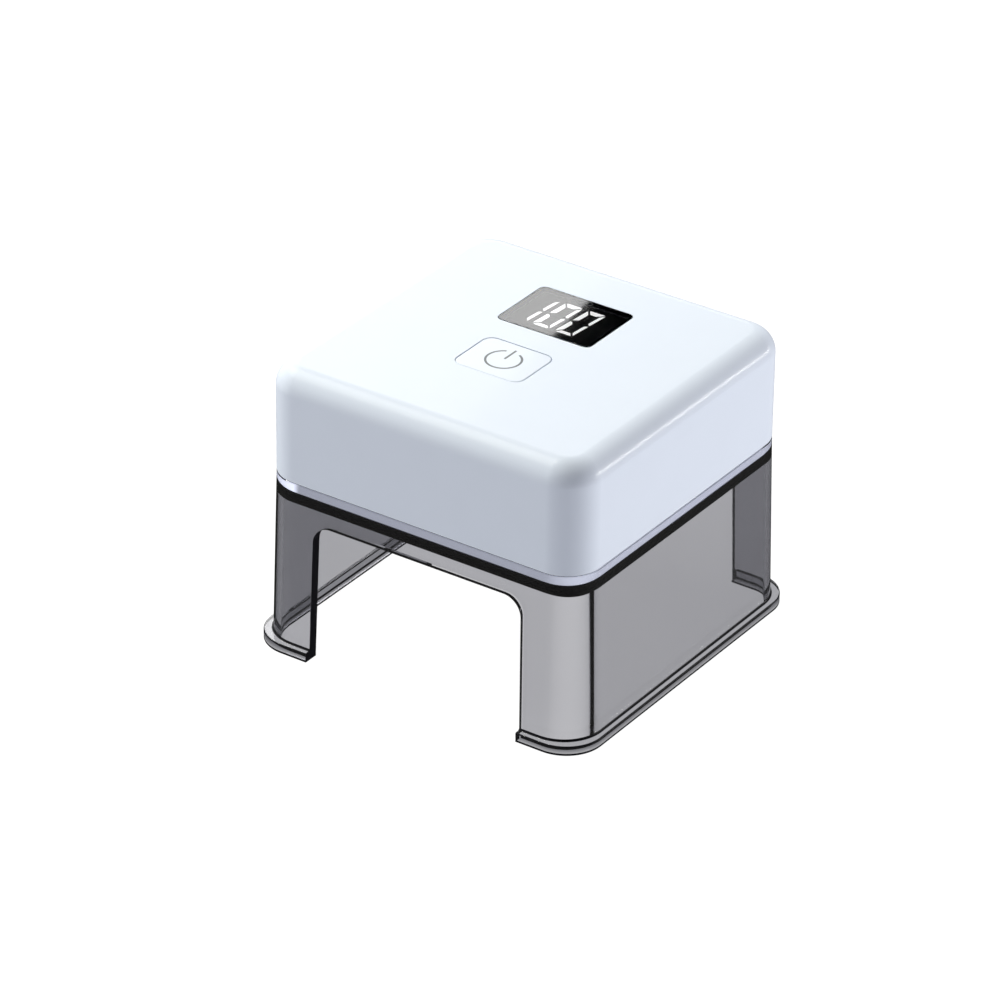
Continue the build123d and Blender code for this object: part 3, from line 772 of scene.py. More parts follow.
@dataclass(frozen=True)
class MouldedPlastic:
    """Opaque moulded plastic: faint clouding in its colour, and a fine relief."""

    name: str
    colour: Colour
    roughness: float = 0.35
    relief_size: float = 0.5
    relief_depth: float = 0.004
    clouding: float = 0.03
    coat: float = 0.0
    specular: float = 0.5

    def material(self) -> bpy.types.Material:
        """Builds the material.

        Returns:
            The material.
        """
        recipe = Recipe(self.name)
        clouds = recipe.noise(9.0, 3.0)
        grain = recipe.noise(self.relief_size, 3.0)
        if self.relief_depth > 0:
            recipe.set(Normal=recipe.relief(grain, self.relief_depth))
        recipe.set(
            Base_Color=recipe.blend(clouds, shade(self.colour, 1 - self.clouding), self.colour),
            Roughness=recipe.span(grain, self.roughness * 0.9, self.roughness * 1.1),
            Specular_IOR_Level=self.specular,
            Coat_Weight=self.coat,
            Coat_Roughness=0.04,
        )
        return recipe.material


@dataclass(frozen=True)
class SmokedPlastic:
    """See-through plastic that darkens with the length of the way through it."""

    name: str
    density: float
    tint: Colour
    roughness: float = 0.0
    clear: float = 1.0
    surface: Colour = (1.0, 1.0, 1.0)
    zones: bool = False
    # The near-black of the painted shade
    dark: Colour = (0.011, 0.011, 0.014)
    # Seen from inside, arch cut faces nearer the middle than this (metres along Y, with the draft) stay clear
    # of painted shade
    cut_clear_depth: float = 0.0384

    def material(self) -> bpy.types.Material:
        """Builds the material, with the smoke as absorption inside the walls.

        Returns:
            The material.
        """
        recipe = Recipe(self.name)
        flow = recipe.noise(14.0, 2.0, (1.0, 1.0, 3.0))
        body = recipe.blend(flow, shade(self.surface, 0.98), self.surface)
        recipe.set(Base_Color=body, Roughness=self.roughness, IOR=1.5, Transmission_Weight=self.clear)
        smoke = recipe.node("VolumeAbsorption", Color=(*self.tint, 1.0), Density=self.density)
        recipe.feed(recipe.output.inputs["Volume"], smoke.outputs["Volume"])
        if self.zones:
            self.add_zones(recipe, body)
        return recipe.material

    def add_zones(self, recipe: Recipe, body: bpy.types.NodeSocket) -> None:
        """Gives each zone of faces its own look.

        Arch cut faces carry painted shade: near-black seen from outside, but clear from inside deep in the
        wall. Ledge faces and foot edges carry painted shade, near-black from both sides.
        Resting and held faces are clear from both sides, as they touch the table or the head with no air
        between.

        Args:
            recipe: The material under construction.
            body: Its base colour elsewhere.
        """
        sawn, inked, resting, held = map(recipe.zone, Zone)
        inside = recipe.node("NewGeometry").outputs["Backfacing"]
        _, y, z = recipe.node("SeparateXYZ", Vector=recipe.place).outputs
        slope = math.tan(math.radians(STAND_DRAFT))
        outwards = recipe.sum("MULTIPLY_ADD", z, slope, recipe.sum("ABSOLUTE", y))
        deep = recipe.sum("MULTIPLY", inside, recipe.sum("LESS_THAN", outwards, self.cut_clear_depth))
        # Painted shade: near-black on the arch cut faces, the ledge faces and the foot edges, in place of the
        # dark that the clear edges show
        dark = recipe.sum("MULTIPLY", sawn, recipe.sum("SUBTRACT", 1.0, deep))
        hidden = recipe.sum("MAXIMUM", inked, dark)
        mix = recipe.node("MixRGB", Fac=hidden, Color1=body, Color2=(*self.dark, 1.0))
        shown = recipe.sum("SUBTRACT", 1.0, hidden)
        recipe.set(
            Base_Color=mix.outputs[0],
            Transmission_Weight=recipe.sum("MULTIPLY", shown, self.clear),
            Roughness=recipe.sum("MULTIPLY", hidden, 0.35),
            Specular_IOR_Level=recipe.sum("MULTIPLY_ADD", hidden, -0.45, 0.5),
        )
        touching = recipe.sum("MAXIMUM", resting, held)
        recipe.let_through(recipe.sum("MAXIMUM", touching, recipe.sum("MULTIPLY", sawn, deep)))


@dataclass(frozen=True)
class PaintedLightAcross:
    """White plastic with painted light: a glow that stands in for how its face under the clear rim is lit,
    set by places along X.

    Each stop is a place in metres and the strength of the painted light there.
    """

    name: str
    colour: Colour
    # The colour of the painted light
    light: Colour
    stops: tuple[Pair, ...]

    def material(self) -> bpy.types.Material:
        """Builds the material.

        Returns:
            The material.
        """
        recipe = Recipe(self.name)
        first, last = self.stops[0][0], self.stops[-1][0]
        across = recipe.node("SeparateXYZ", Vector=recipe.place).outputs[0]
        along = recipe.sum("MULTIPLY_ADD", across, 1 / (last - first), -first / (last - first))
        peak = max(strength for _, strength in self.stops)
        ramp = recipe.node("ValToRGB", Fac=along)
        marks = ramp.color_ramp.elements
        for _ in self.stops[2:]:
            marks.new(0.5)
        for mark, (place, strength) in zip(marks, self.stops):
            mark.position = (place - first) / (last - first)
            mark.color = (*shade(self.light, strength / peak), 1.0)
        # Painted light: emission in place of the light on the spigot under the rim
        recipe.set(
            Base_Color=(*self.colour, 1.0), Roughness=0.4, Specular_IOR_Level=0.2,
            Emission_Color=ramp.outputs[0], Emission_Strength=peak,
        )
        return recipe.material


@dataclass(frozen=True)
class GlowingResin:
    """A cast resin bar lit from behind, a little uneven in its glow."""

    name: str
    colour: Colour
    strength: float

    def material(self) -> bpy.types.Material:
        """Builds the material.

        Returns:
            The material.
        """
        recipe = Recipe(self.name)
        haze = recipe.noise(1.2, 1.0)
        glow = recipe.blend(haze, shade(self.colour, 0.93), self.colour)
        recipe.set(Base_Color=glow, Roughness=0.5, Emission_Color=glow, Emission_Strength=self.strength)
        return recipe.material


@dataclass(frozen=True)
class Metal:
    """Metal with fine streaks along one axis."""

    name: str
    colour: Colour
    roughness: float = 0.3
    streaks: Point = (12.0, 1.0, 1.0)
    streak_size: float = 0.12
    relief_depth: float = 0.003

    def material(self) -> bpy.types.Material:
        """Builds the material.

        Returns:
            The material.
        """
        recipe = Recipe(self.name)
        streak = recipe.noise(self.streak_size, 4.0, self.streaks)
        recipe.set(
            Base_Color=recipe.blend(streak, shade(self.colour, 0.88), self.colour),
            Metallic=1.0,
            Roughness=recipe.span(streak, self.roughness * 0.8, self.roughness * 1.25),
            Normal=recipe.relief(streak, self.relief_depth),
        )
        return recipe.material


# The range in which most of a noise texture's values lie
NOISE_RANGE = (0.3, 0.7)
EVEN = (1.0, 1.0, 1.0)
CHIP_BLACK = (0.02, 0.02, 0.02)
ZINC = (0.6, 0.6, 0.61)
TIN = (0.72, 0.72, 0.73)
NATURAL_WHITE = (0.75, 0.73, 0.66)
LEAD_RED = (0.5, 0.02, 0.015)

# The stand's plastic; zones=True adds the painted shade on the cut faces, the ledge and the foot edges
SMOKED = SmokedPlastic(
    "smoked plastic", density=318.0, tint=(0.0, 0.0, 0.06), clear=0.985, surface=(0.99, 0.99, 1.0), zones=True
)
WHITE_SHELL = MouldedPlastic(
    "white gloss shell", (0.655, 0.704, 0.82), roughness=0.32, relief_size=2.5, relief_depth=0.0,
    clouding=0.01, coat=0.07, specular=0.06,
)
WHITE_KEY = replace(WHITE_SHELL, name="white gloss key", colour=(0.66, 0.707, 0.825), coat=0.2)
# Painted light on the spigot: the bright left end is a painted highlight, and the right end is brighter as
# painted side light
SPIGOT_PAINTED_LIGHT = PaintedLightAcross(
    "white spigot with painted light", (0.69, 0.745, 0.82), (0.80, 0.84, 0.96),
    ((-0.0363, 2.8), (-0.0318, 2.8), (-0.0305, 0.9), (0.030, 0.95), (0.0355, 1.55)),
)
DARK_LENS = SmokedPlastic("dark display lens", density=1100.0, tint=(0.0, 0.0, 0.0), roughness=0.022)
BLACK_COVER = MouldedPlastic(
    "black textured cover", (0.016, 0.017, 0.021), roughness=0.45, relief_size=0.25, relief_depth=0.02,
    clouding=0.2,
)
SYMBOL_PAINT = MouldedPlastic("grey symbol paint", (0.13, 0.14, 0.16), roughness=0.5, relief_size=0.2)
LIT_BARS = GlowingResin("lit bar resin", (1.0, 1.0, 1.0), 4.2)
UNLIT_BARS = MouldedPlastic("unlit bar resin", (0.02, 0.02, 0.022), relief_size=0.4)
SILVER = Metal("silvered reflector", (0.82, 0.82, 0.83), roughness=0.12, streaks=EVEN, streak_size=1.5)
BEAD_BODY = MouldedPlastic("bead package", (0.8, 0.77, 0.66), roughness=0.4, relief_size=0.3)
BEAD_DOME = SmokedPlastic("clear bead dome", density=120.0, tint=(0.6, 0.5, 1.0), roughness=0.02)
SCREW_STEEL = Metal("zinc cover screws", ZINC)
SOCKET_STEEL = Metal("socket steel", (0.6, 0.6, 0.62))
TONGUE_BLACK = MouldedPlastic("tongue black", CHIP_BLACK, roughness=0.4)
GILT = Metal("gilt contacts", (0.9, 0.68, 0.32), roughness=0.2, streak_size=0.08, relief_depth=0.001)

NODE_FINISHES: dict[str, Finish] = {
    "display_housing": MouldedPlastic(
        "display body black", (0.006, 0.006, 0.007), roughness=0.6, relief_size=0.3
    ),
    "display_pins": Metal("tinned display pins", TIN),
    "switch_body": MouldedPlastic("switch body black", CHIP_BLACK, roughness=0.5, relief_size=0.3),
    "switch_plunger": MouldedPlastic("plunger white", (0.8, 0.8, 0.76), roughness=0.4, relief_size=0.3),
    "main_board": MouldedPlastic(
        "green board lacquer", (0.01, 0.12, 0.05), roughness=0.3, relief_size=0.8, clouding=0.25
    ),
    "board_screws": Metal("zinc board screws", ZINC),
    "inductor": MouldedPlastic(
        "ferrite grey", (0.08, 0.08, 0.085), roughness=0.6, relief_size=0.2, relief_depth=0.02, clouding=0.2
    ),
    "capacitors": MouldedPlastic(
        "ceramic tan", (0.4, 0.27, 0.15), roughness=0.45, relief_size=0.3, clouding=0.1
    ),
    "resistors": MouldedPlastic("resistor glaze black", (0.03, 0.03, 0.03), roughness=0.3, relief_size=0.3),
    "battery_cell": Metal(
        "battery pouch foil", (0.66, 0.67, 0.69), roughness=0.35, streaks=EVEN, streak_size=2.0,
        relief_depth=0.05,
    ),
    "battery_pad": MouldedPlastic(
        "grey foam", (0.06, 0.06, 0.065), roughness=0.9, relief_size=0.4, relief_depth=0.1, clouding=0.3
    ),
    "lamp_board": MouldedPlastic("lamp board white lacquer", (0.75, 0.76, 0.77), relief_size=0.6),
    "lamp_board_screws": Metal("zinc lamp screws", ZINC),
}
for use in ("control", "charge"):
    NODE_FINISHES[f"{use}_chip"] = MouldedPlastic(
        f"{use} chip black", CHIP_BLACK, roughness=0.55, relief_size=0.15
    )
    NODE_FINISHES[f"{use}_chip_pins"] = Metal(f"tinned {use} pins", TIN)
for use in ("battery", "lamp"):
    for hue, colour in (("red", LEAD_RED), ("black", CHIP_BLACK)):
        NODE_FINISHES[f"{use}_lead_{hue}"] = MouldedPlastic(
            f"{use} lead {hue}", colour, roughness=0.45, relief_size=0.4
        )
for use in ("socket", "plug"):
    NODE_FINISHES[f"lead_{use}s"] = MouldedPlastic(
        f"{use} natural white", NATURAL_WHITE, roughness=0.4, relief_size=0.4
    )


@dataclass
class InnerParts:
    """The CAD nodes that stay as they are and get a finish of their own."""

    nodes: dict[str, bpy.types.Object]

    def dress(self, finishes: dict[str, Finish]) -> None:
        """Gives each named node its finish.

        Args:
            finishes: The finishes by node.
        """
        for name, finish in finishes.items():
            mesh = self.nodes[name].data
            mesh.materials.clear()
            mesh.materials.append(finish.material())
            log.info("%s: dressed", name)


def finished(
    obj: bpy.types.Object, finish: Finish, slot: str, *nodes: str, body: Body = Body.LAMP
) -> bpy.types.Object:
    """Brings a modelled piece to metres, dresses it and hands it to its body.

    Args:
        obj: The piece, modelled in millimetres.
        finish: Its finish.
        slot: A material slot's name; not used.
        nodes: The CAD nodes that it stands for.
        body: The body that it rides on.

    Returns:
        The piece.
    """
    obj.scale = (MILLIMETRE,) * 3
    settle(obj)
    obj.data.materials.clear()
    obj.data.materials.append(finish.material())
    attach(obj, body.value)
    if nodes:
        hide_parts(*nodes)
    log.info("%s: %d faces", obj.name, len(obj.data.polygons))
    return obj


# Stand


@dataclass
class SmokedStand:
    """The see-through stand: foot lip, drafted wall, ledge and rim, with an arch in the front and rear."""

    wall: float = 2.4
    inner_corner: float = 4.6
    ledge_half: float = 35.0
    ledge_corner: float = 4.0
    seat_near: float = 34.0
    foot_reach: float = 1.35
    foot_height: float = 2.2
    foot_corner: float = 8.6
    foot_edge: float = 0.3
    sole_edge: float = 0.1
    root: float = 0.5
    arch_width: float = 52.6
    arch_height: float = 32.1
    arch_corner: float = 4.2
    arch_draft: float = 1.2
    arch_reach: float = 60.0
    edge: float = 0.15
    # The height under which the foot's faces get painted shade
    painted_shade_z: float = 0.55

    def growth(self, z: float) -> float:
        """How far the drafted wall has moved outwards at a height."""
        return (STAND_TOP - z) * math.tan(math.radians(STAND_DRAFT))

    def outer(self, z: float, margin: float = 0.0) -> Outline:
        """The wall's outer outline at a height, set outwards by a margin."""
        growth = self.growth(z) + margin
        return Outline.square(HEAD_HALF + growth, HEAD_CORNER + growth, z)

    def inner(self, z: float) -> Outline:
        """The outline of the inner faces at a height, with its tighter corners."""
        growth = self.growth(z)
        return Outline.square(HEAD_HALF - self.wall + growth, self.inner_corner + growth, z)

    def foot(self) -> list[Outline]:
        """The outlines of the foot lip.

        Returns:
            The outlines, from the floor up to the root of the wall.
        """
        half = HEAD_HALF + self.growth(self.foot_height) + self.foot_reach
        lip = Outline.square(half, self.foot_corner, self.sole_edge)
        outlines = [lip.grown(-self.sole_edge, 0.0), lip, lip.at(self.painted_shade_z)]
        for inwards, up in arc(self.foot_edge, 4):
            outlines.append(lip.grown(-inwards, self.foot_height - self.foot_edge + up))
        for inwards, up in arc(self.root, 4):
            outlines.append(self.outer(self.foot_height + inwards, self.root - up))
        return outlines

    def build(self) -> bpy.types.Object:
        """Builds the stand as one closed wall, then cuts the arches and the seats of the tongues.

        Returns:
            The stand.
        """
        ledge = Outline.square(self.ledge_half, self.ledge_corner, LEDGE_TOP)
        outlines = self.foot() + [
            self.outer(STAND_TOP - self.edge),
            self.outer(STAND_TOP, -self.edge),
            self.outer(STAND_TOP, self.edge - self.wall),
            self.outer(STAND_TOP - self.edge, -self.wall),
            self.outer(LEDGE_TOP, -self.wall),
            ledge,
            ledge.at(LEDGE_BOTTOM),
            self.inner(LEDGE_BOTTOM),
            self.inner(self.painted_shade_z),
            self.inner(self.sole_edge),
            self.inner(0.0).grown(self.sole_edge, 0.0),
        ]
        stand = stacked("smoked_stand_moulding", outlines, capped=False)
        combine(stand, self.tongue_seats(), Cut.TAKE_AWAY)
        combine(stand, [self.arch()], Cut.TAKE_AWAY)
        self.ease_arch(stand)
        smooth(stand, 30.0)
        return self.dress(stand)

    def tongue_seats(self) -> list[bpy.types.Object]:
        """The cutters of the four shallow recesses that the head's tongues drop into.

        Returns:
            The cutters.
        """
        top = LEDGE_TOP + OVERLAP
        far = HEAD_HALF - self.wall + self.growth(LEDGE_TOP) - OFF_FACE
        spans = tongue_spans(self.seat_near, far, TONGUE_GAP)
        return [box("tongue_seat", (*low, TONGUE_FLOOR), (*high, top)) for low, high in spans]

    def arch_half(self, z: float) -> float:
        """Half the width of the arches at a height."""
        return self.arch_width / 2 - z * math.tan(math.radians(self.arch_draft))

    def arch(self) -> bpy.types.Object:
        """The cutter of both arches: a block with drafted sides and its two upper edges rounded.

        Returns:
            The cutter.
        """
        half, top, reach = self.arch_half(0.0), self.arch_height, self.arch_reach
        cutter = box("arch", (-half, -reach, 0.0), (half, reach, top))
        choose(cutter, "VERT", lambda vertex: vertex.co.z > top / 2)
        scale(self.arch_half(top) / half, 1.0, top)
        choose_edges(cutter, lambda a, b: min(a.z, b.z) > top / 2 and abs(a.x - b.x) < NEAR)
        bevel(self.arch_corner, 20)
        choose(cutter, "FACE", lambda face: face.normal.z < -LEVEL)
        bpy.ops.transform.translate(value=(0.0, 0.0, -PAST))
        done()
        return cutter

    def on_arch(self, point: Vector, slack: float = 0.02) -> bool:
        """Whether a point lies on the faces that the arches' cutter left.

        Args:
            point: The point, in millimetres.
            slack: How far off a flat face it may lie.

        Returns:
            True on the sides, the top and the rounded corners.
        """
        across, half, corner = abs(point.x), self.arch_half(point.z), self.arch_corner
        if across > half + slack or point.z > self.arch_height + slack:
            return False
        if abs(across - half) < slack or abs(point.z - self.arch_height) < slack:
            return True
        past_x = across - (self.arch_half(self.arch_height) - corner)
        past_z = point.z - (self.arch_height - corner)
        return past_x > 0 and past_z > 0 and abs(math.hypot(past_x, past_z) - corner) < 0.2

    def ease_arch(self, stand: bpy.types.Object) -> None:
        """Eases the sharp edges that the arches' cutter left.

        Args:
            stand: The stand.
        """
        sharp = sharp_edges(stand, 50.0)
        on_arch = [self.on_arch(vertex.co) for vertex in stand.data.vertices]
        choose(stand, "EDGE", lambda edge: edge.index in sharp and all(on_arch[end] for end in edge.vertices))
        bevel(self.edge, 2, clamped=True)

    def zone_of(self, face: bpy.types.MeshPolygon) -> Zone | None:
        """The zone of finish that a face belongs to.

        Args:
            face: A face of the stand, in metres.

        Returns:
            The zone, or None for the plain smoked walls.
        """
        middle, normal = face.center / MILLIMETRE, face.normal
        z, reach = middle.z, max(abs(middle.x), abs(middle.y))
        if z < 0.01:
            return Zone.RESTING
        # Arch cut faces get painted shade, near-black from outside
        if self.on_arch(middle, 0.1) and abs(normal.x) + abs(normal.z) > 0.9:
            return Zone.SAWN
        rounded = 0.02 < normal.z < 0.98
        # The lip's bottom band and the foot's rounded edges get painted shade: dark lines
        if z < self.painted_shade_z or (rounded and z < self.foot_height + self.root):
            return Zone.INKED
        upright, slack = abs(normal.z) < UPRIGHT, 0.05
        under = normal.z < -LEVEL and abs(z - LEDGE_BOTTOM) < slack
        over = normal.z > LEVEL and TONGUE_FLOOR - slack < z < LEDGE_TOP + slack
        inner = upright and LEDGE_BOTTOM < z < LEDGE_TOP
        # The ledge's faces get painted shade: the dark band under the head
        if reach < HEAD_HALF - self.wall + 0.2 and (under or over or inner):
            return Zone.INKED
        if upright and reach < HEAD_HALF - 1.0 and LEDGE_TOP < z < STAND_TOP:
            return Zone.HELD
        return None

    def dress(self, stand: bpy.types.Object) -> bpy.types.Object:
        """Gives the stand the smoked finish and marks the zones of its faces.

        Args:
            stand: The stand.

        Returns:
            The stand.
        """
        finished(stand, SMOKED, "smoked_plastic", "smoked_stand")
        zones = [self.zone_of(face) for face in stand.data.polygons]
        for zone in Zone:
            marks = stand.data.attributes.new(zone.value, "FLOAT", "FACE")
            marks.data.foreach_set("value", [zone.strength if found is zone else 0.0 for found in zones])
        return stand


# Head


@dataclass
class HeadShell:
    """The white cap with its spigot, tongues, bosses and openings."""

    edge_round: float = 5.0
    seam_z: float = 40.1
    seam_edge: float = 0.2
    wall: float = 2.2
    roof: float = 2.2
    spigot: Outline = Outline.square(36.3, 5.3, LEDGE_TOP)
    spigot_edge: float = 0.15
    throat: Outline = Outline.square(34.7, 3.7, 42.3)
    window_seat: Outline = replace(WINDOW.grown(-1.0, 62.0), corner=0.2)
    key_hole: Outline = KEY_CAP.grown(KEY_GAP, 62.0)
    socket_hole: Outline = replace(SOCKET.grown(SOCKET_GAP, 36.0), corner=1.92)
    opening_edge: float = 0.1
    root: float = 0.5
    boss_radius: float = 3.0
    rib: float = 1.2
    rib_drop: float = 4.0
    board_half_x: float = 23.0
    board_front: float = -22.0
    board_rear: float = 30.0
    board_boss_radius: float = 2.5
    board_top: float = 55.2
    pilot_depth: float = 5.4

    def build(self) -> bpy.types.Object:
        """Builds the cap, adds what stands inside it and cuts its openings.

        Returns:
            The shell.
        """
        shell = stacked("white_head_shell", self.section(), steps=20)
        combine(shell, self.tongues() + self.bosses(), Cut.ADD)
        combine(shell, self.pilots(), Cut.TAKE_AWAY)
        openings = (
            (WINDOW.grown(WINDOW_GAP, WINDOW.z), HEAD_TOP + PAST),
            (self.window_seat, HEAD_TOP),
            (self.key_hole, HEAD_TOP + PAST),
        )
        for hole, top in openings:
            combine(shell, [rounded_block("opening", hole, top, 10)], Cut.TAKE_AWAY)
        rear = rounded_block("socket_hole", self.socket_hole, HEAD_HALF + 2 * PAST, 12)
        combine(shell, [laid_back(rear, SOCKET_Z)], Cut.TAKE_AWAY)
        self.ease_openings(shell)
        smooth(shell, 30.0)
        return self.dress(shell)

    def section(self) -> list[Outline]:
        """The outlines of the cap.

        Returns:
            The outlines from the ceiling, down inside, round the seam and up outside to the top.
        """
        cavity = Outline.square(HEAD_HALF - self.wall, HEAD_CORNER - self.wall, self.throat.z)
        cap = Outline.square(HEAD_HALF, HEAD_CORNER, self.seam_z)
        inner_round = self.edge_round - self.roof
        inner_z, outer_z = HEAD_TOP - self.roof - inner_round, HEAD_TOP - self.edge_round
        return [
            *[cavity.grown(-inwards, inner_z + up) for inwards, up in reversed(arc(inner_round, 6))],
            cavity,
            self.throat,
            self.throat.at(self.spigot.z),
            self.spigot.grown(-self.spigot_edge, self.spigot.z),
            self.spigot.at(self.spigot.z + self.spigot_edge),
            self.spigot.at(self.seam_z),
            *eased(cap, self.seam_edge, self.seam_z),
            *[cap.grown(-inwards, outer_z + up) for inwards, up in arc(self.edge_round, 14)],
        ]

    def tongues(self) -> list[bpy.types.Object]:
        """The four tongues under the spigot that key the head into the stand.

        Returns:
            The tongues.
        """
        top = self.spigot.z + self.root
        far = self.spigot.half_x - self.spigot_edge - OFF_FACE
        spans = tongue_spans(self.throat.half_x + OFF_FACE, far)
        return [box("tongue", (*low, TONGUE_FLOOR), (*high, top)) for low, high in spans]

    def board_places(self) -> list[Pair]:
        """The middles of the main board's four bosses."""
        columns, rows = (-self.board_half_x, self.board_half_x), (self.board_front, self.board_rear)
        return [(x, y) for x in columns for y in rows]

    def bosses(self) -> list[bpy.types.Object]:
        """The screw bosses: four for the cover, tied to the walls by ribs, and four for the main board.

        Returns:
            The bosses and ribs.
        """
        top = HEAD_TOP - self.roof + self.root
        low, high, half, reach = self.throat.z, top - self.rib_drop, self.rib / 2, HEAD_HALF - self.wall / 2
        parts = []
        for x, y in corners(COVER_SCREW_AT):
            parts.append(rod("boss", self.boss_radius, (x, y, COVER_TOP), top - COVER_TOP, 32))
            span_x, span_y = (sorted((at, math.copysign(reach, at))) for at in (x, y))
            parts.append(box("rib", (span_x[0], y - half, low), (span_x[1], y + half, high)))
            parts.append(box("rib", (x - half, span_y[0], low), (x + half, span_y[1], high)))
        foot = self.board_top
        for x, y in self.board_places():
            parts.append(rod("board_boss", self.board_boss_radius, (x, y, foot), top - foot, 32))
        return parts

    def pilots(self) -> list[bpy.types.Object]:
        """The cutters of the holes that the screws bite in.

        Returns:
            The cutters.
        """
        feet = [(place, COVER_TOP) for place in corners(COVER_SCREW_AT)]
        feet += [(place, self.board_top) for place in self.board_places()]
        return [screw_hole(place, foot - PAST, self.pilot_depth + PAST) for place, foot in feet]

    def ease_openings(self, shell: bpy.types.Object) -> None:
        """Eases the edges of the window's recess and the key's hole in the top face.

        Args:
            shell: The shell.
        """
        limit = HEAD_HALF - self.edge_round - 2.0

        def inside(end: Vector) -> bool:
            """Whether an edge's end lies in the top face, off its rounded rim."""
            return end.z > HEAD_TOP - NEAR and max(abs(end.x), abs(end.y)) < limit

        choose_edges(shell, lambda a, b: inside(a) and inside(b))
        bevel(self.opening_edge, 2)

    def dress(self, shell: bpy.types.Object) -> bpy.types.Object:
        """Gives the shell its white finish, and the outer faces of its spigot the one with painted light.

        Args:
            shell: The shell.

        Returns:
            The shell.
        """
        finished(shell, WHITE_SHELL, "white_gloss", "head_shell")
        # Painted light: the spigot's outer faces glow in place of being lit under the rim
        shell.data.materials.append(SPIGOT_PAINTED_LIGHT.material())
        for face in shell.data.polygons:
            middle = face.center / MILLIMETRE
            outer = max(abs(middle.x), abs(middle.y)) > self.spigot.half_x - 1.8
            upright = abs(face.normal.z) < 0.5
            face.material_index = int(outer and upright and self.spigot.z < middle.z < self.seam_z)
        return shell


@dataclass
class DisplayWindow:
    """The dark lens over the display."""

    edge: float = 0.12

    def build(self) -> bpy.types.Object:
        """Builds the lens with an eased upper edge.

        Returns:
            The lens.
        """
        upper = eased(WINDOW, -self.edge, HEAD_TOP)
        lens = stacked("dark_display_lens", [WINDOW, *reversed(upper)], steps=10)
        smooth(lens, 30.0)
        return finished(lens, DARK_LENS, "dark_lens", "display_window")


@dataclass
class DigitBars:
    """The bars of the display's figures: fourteen lit to show 100, two unlit."""

    height: float = 11.5
    width: float = 4.6
    pitch: float = 5.65
    stroke: float = 1.02
    slim: float = 0.76
    split: float = 0.32
    slant: float = 4.5
    right_edge: float = -0.5
    middle_y: float = 14.9
    top: float = 63.65
    depth: float = 0.4
    tip: float = 0.16

    def leaning(self, points: Sequence[Pair], cell: int) -> list[Pair]:
        """Leans a bar's outline and moves it into its figure.

        Args:
            points: The outline in an upright figure.
            cell: The figure's number, counted from the left.

        Returns:
            The outline in its place.
        """
        lean = math.tan(math.radians(self.slant))
        left = self.right_edge + (cell - 1) * self.pitch - self.width - lean * self.height / 2
        bottom = self.middle_y - self.height / 2
        return [(left + x + lean * y, bottom + y) for x, y in points]

    def upright(self, right: bool, upper: bool) -> list[Pair]:
        """The outline of an upright bar: mitred at the figure's end, slanted at its waist.

        Args:
            right: Whether it stands on the right.
            upper: Whether it is the upper one.

        Returns:
            The outline.
        """
        middle, inner = self.height / 2, self.width - self.slim
        points = [
            (self.width, self.height - self.split),
            (self.width, middle + self.split),
            (inner, middle + self.split + self.slim / 2),
            (inner, self.height - self.stroke - self.split),
        ]
        if not upper:
            points = [(x, self.height - y) for x, y in points]
        return points if right else [(self.width + self.stroke - self.slim - x, y) for x, y in points]

    def level(self, upper: bool) -> list[Pair]:
        """The outline of the top or bottom bar, mitred at both ends.

        Args:
            upper: Whether it is the top bar.

        Returns:
            The outline.
        """
        inset, left = self.slim + self.split, self.stroke - self.slim
        points = [
            (left + self.split, self.height), (self.width - self.split, self.height),
            (self.width - inset, self.height - self.stroke), (left + inset, self.height - self.stroke),
        ]
        return points if upper else [(x, self.height - y) for x, y in points]

    def waist(self) -> list[Pair]:
        """The outline of the middle bar, pointed at both ends.

        Returns:
            The outline.
        """
        middle, half = self.height / 2, self.stroke / 2 - self.split
        left = [(self.stroke, middle - half), (2 * self.split, middle), (self.stroke, middle + half)]
        return left + [(self.width - x, y) for x, y in left[::-1]]

    def bar(self, points: Sequence[Pair], cell: int) -> bpy.types.Object:
        """One bar with rounded tips."""
        return flat_shape("bar", self.leaning(points, cell), self.top - self.depth, self.top, self.tip)

    def build(self) -> list[bpy.types.Object]:
        """Builds the one, models the nought once, copies it, and lays the unlit bars in both noughts.

        Returns:
            The lit bars and the unlit bars.
        """
        step, both = (self.pitch, 0.0, 0.0), (True, False)
        one = [self.bar(self.upright(True, upper), 0) for upper in both]
        nought = [self.bar(self.upright(right, upper), 1) for right in both for upper in both]
        nought += [self.bar(self.level(upper), 1) for upper in both]
        lit = joined("lit_digit_shapes", one + nought + [copied(bar, step) for bar in nought])
        dash = self.bar(self.waist(), 1)
        unlit = joined("unlit_digit_shapes", [dash, copied(dash, step)])
        return [
            finished(lit, LIT_BARS, "lit_white", "lit_digit_bars"),
            finished(unlit, UNLIT_BARS, "unlit_grey", "unlit_digit_bars"),
        ]


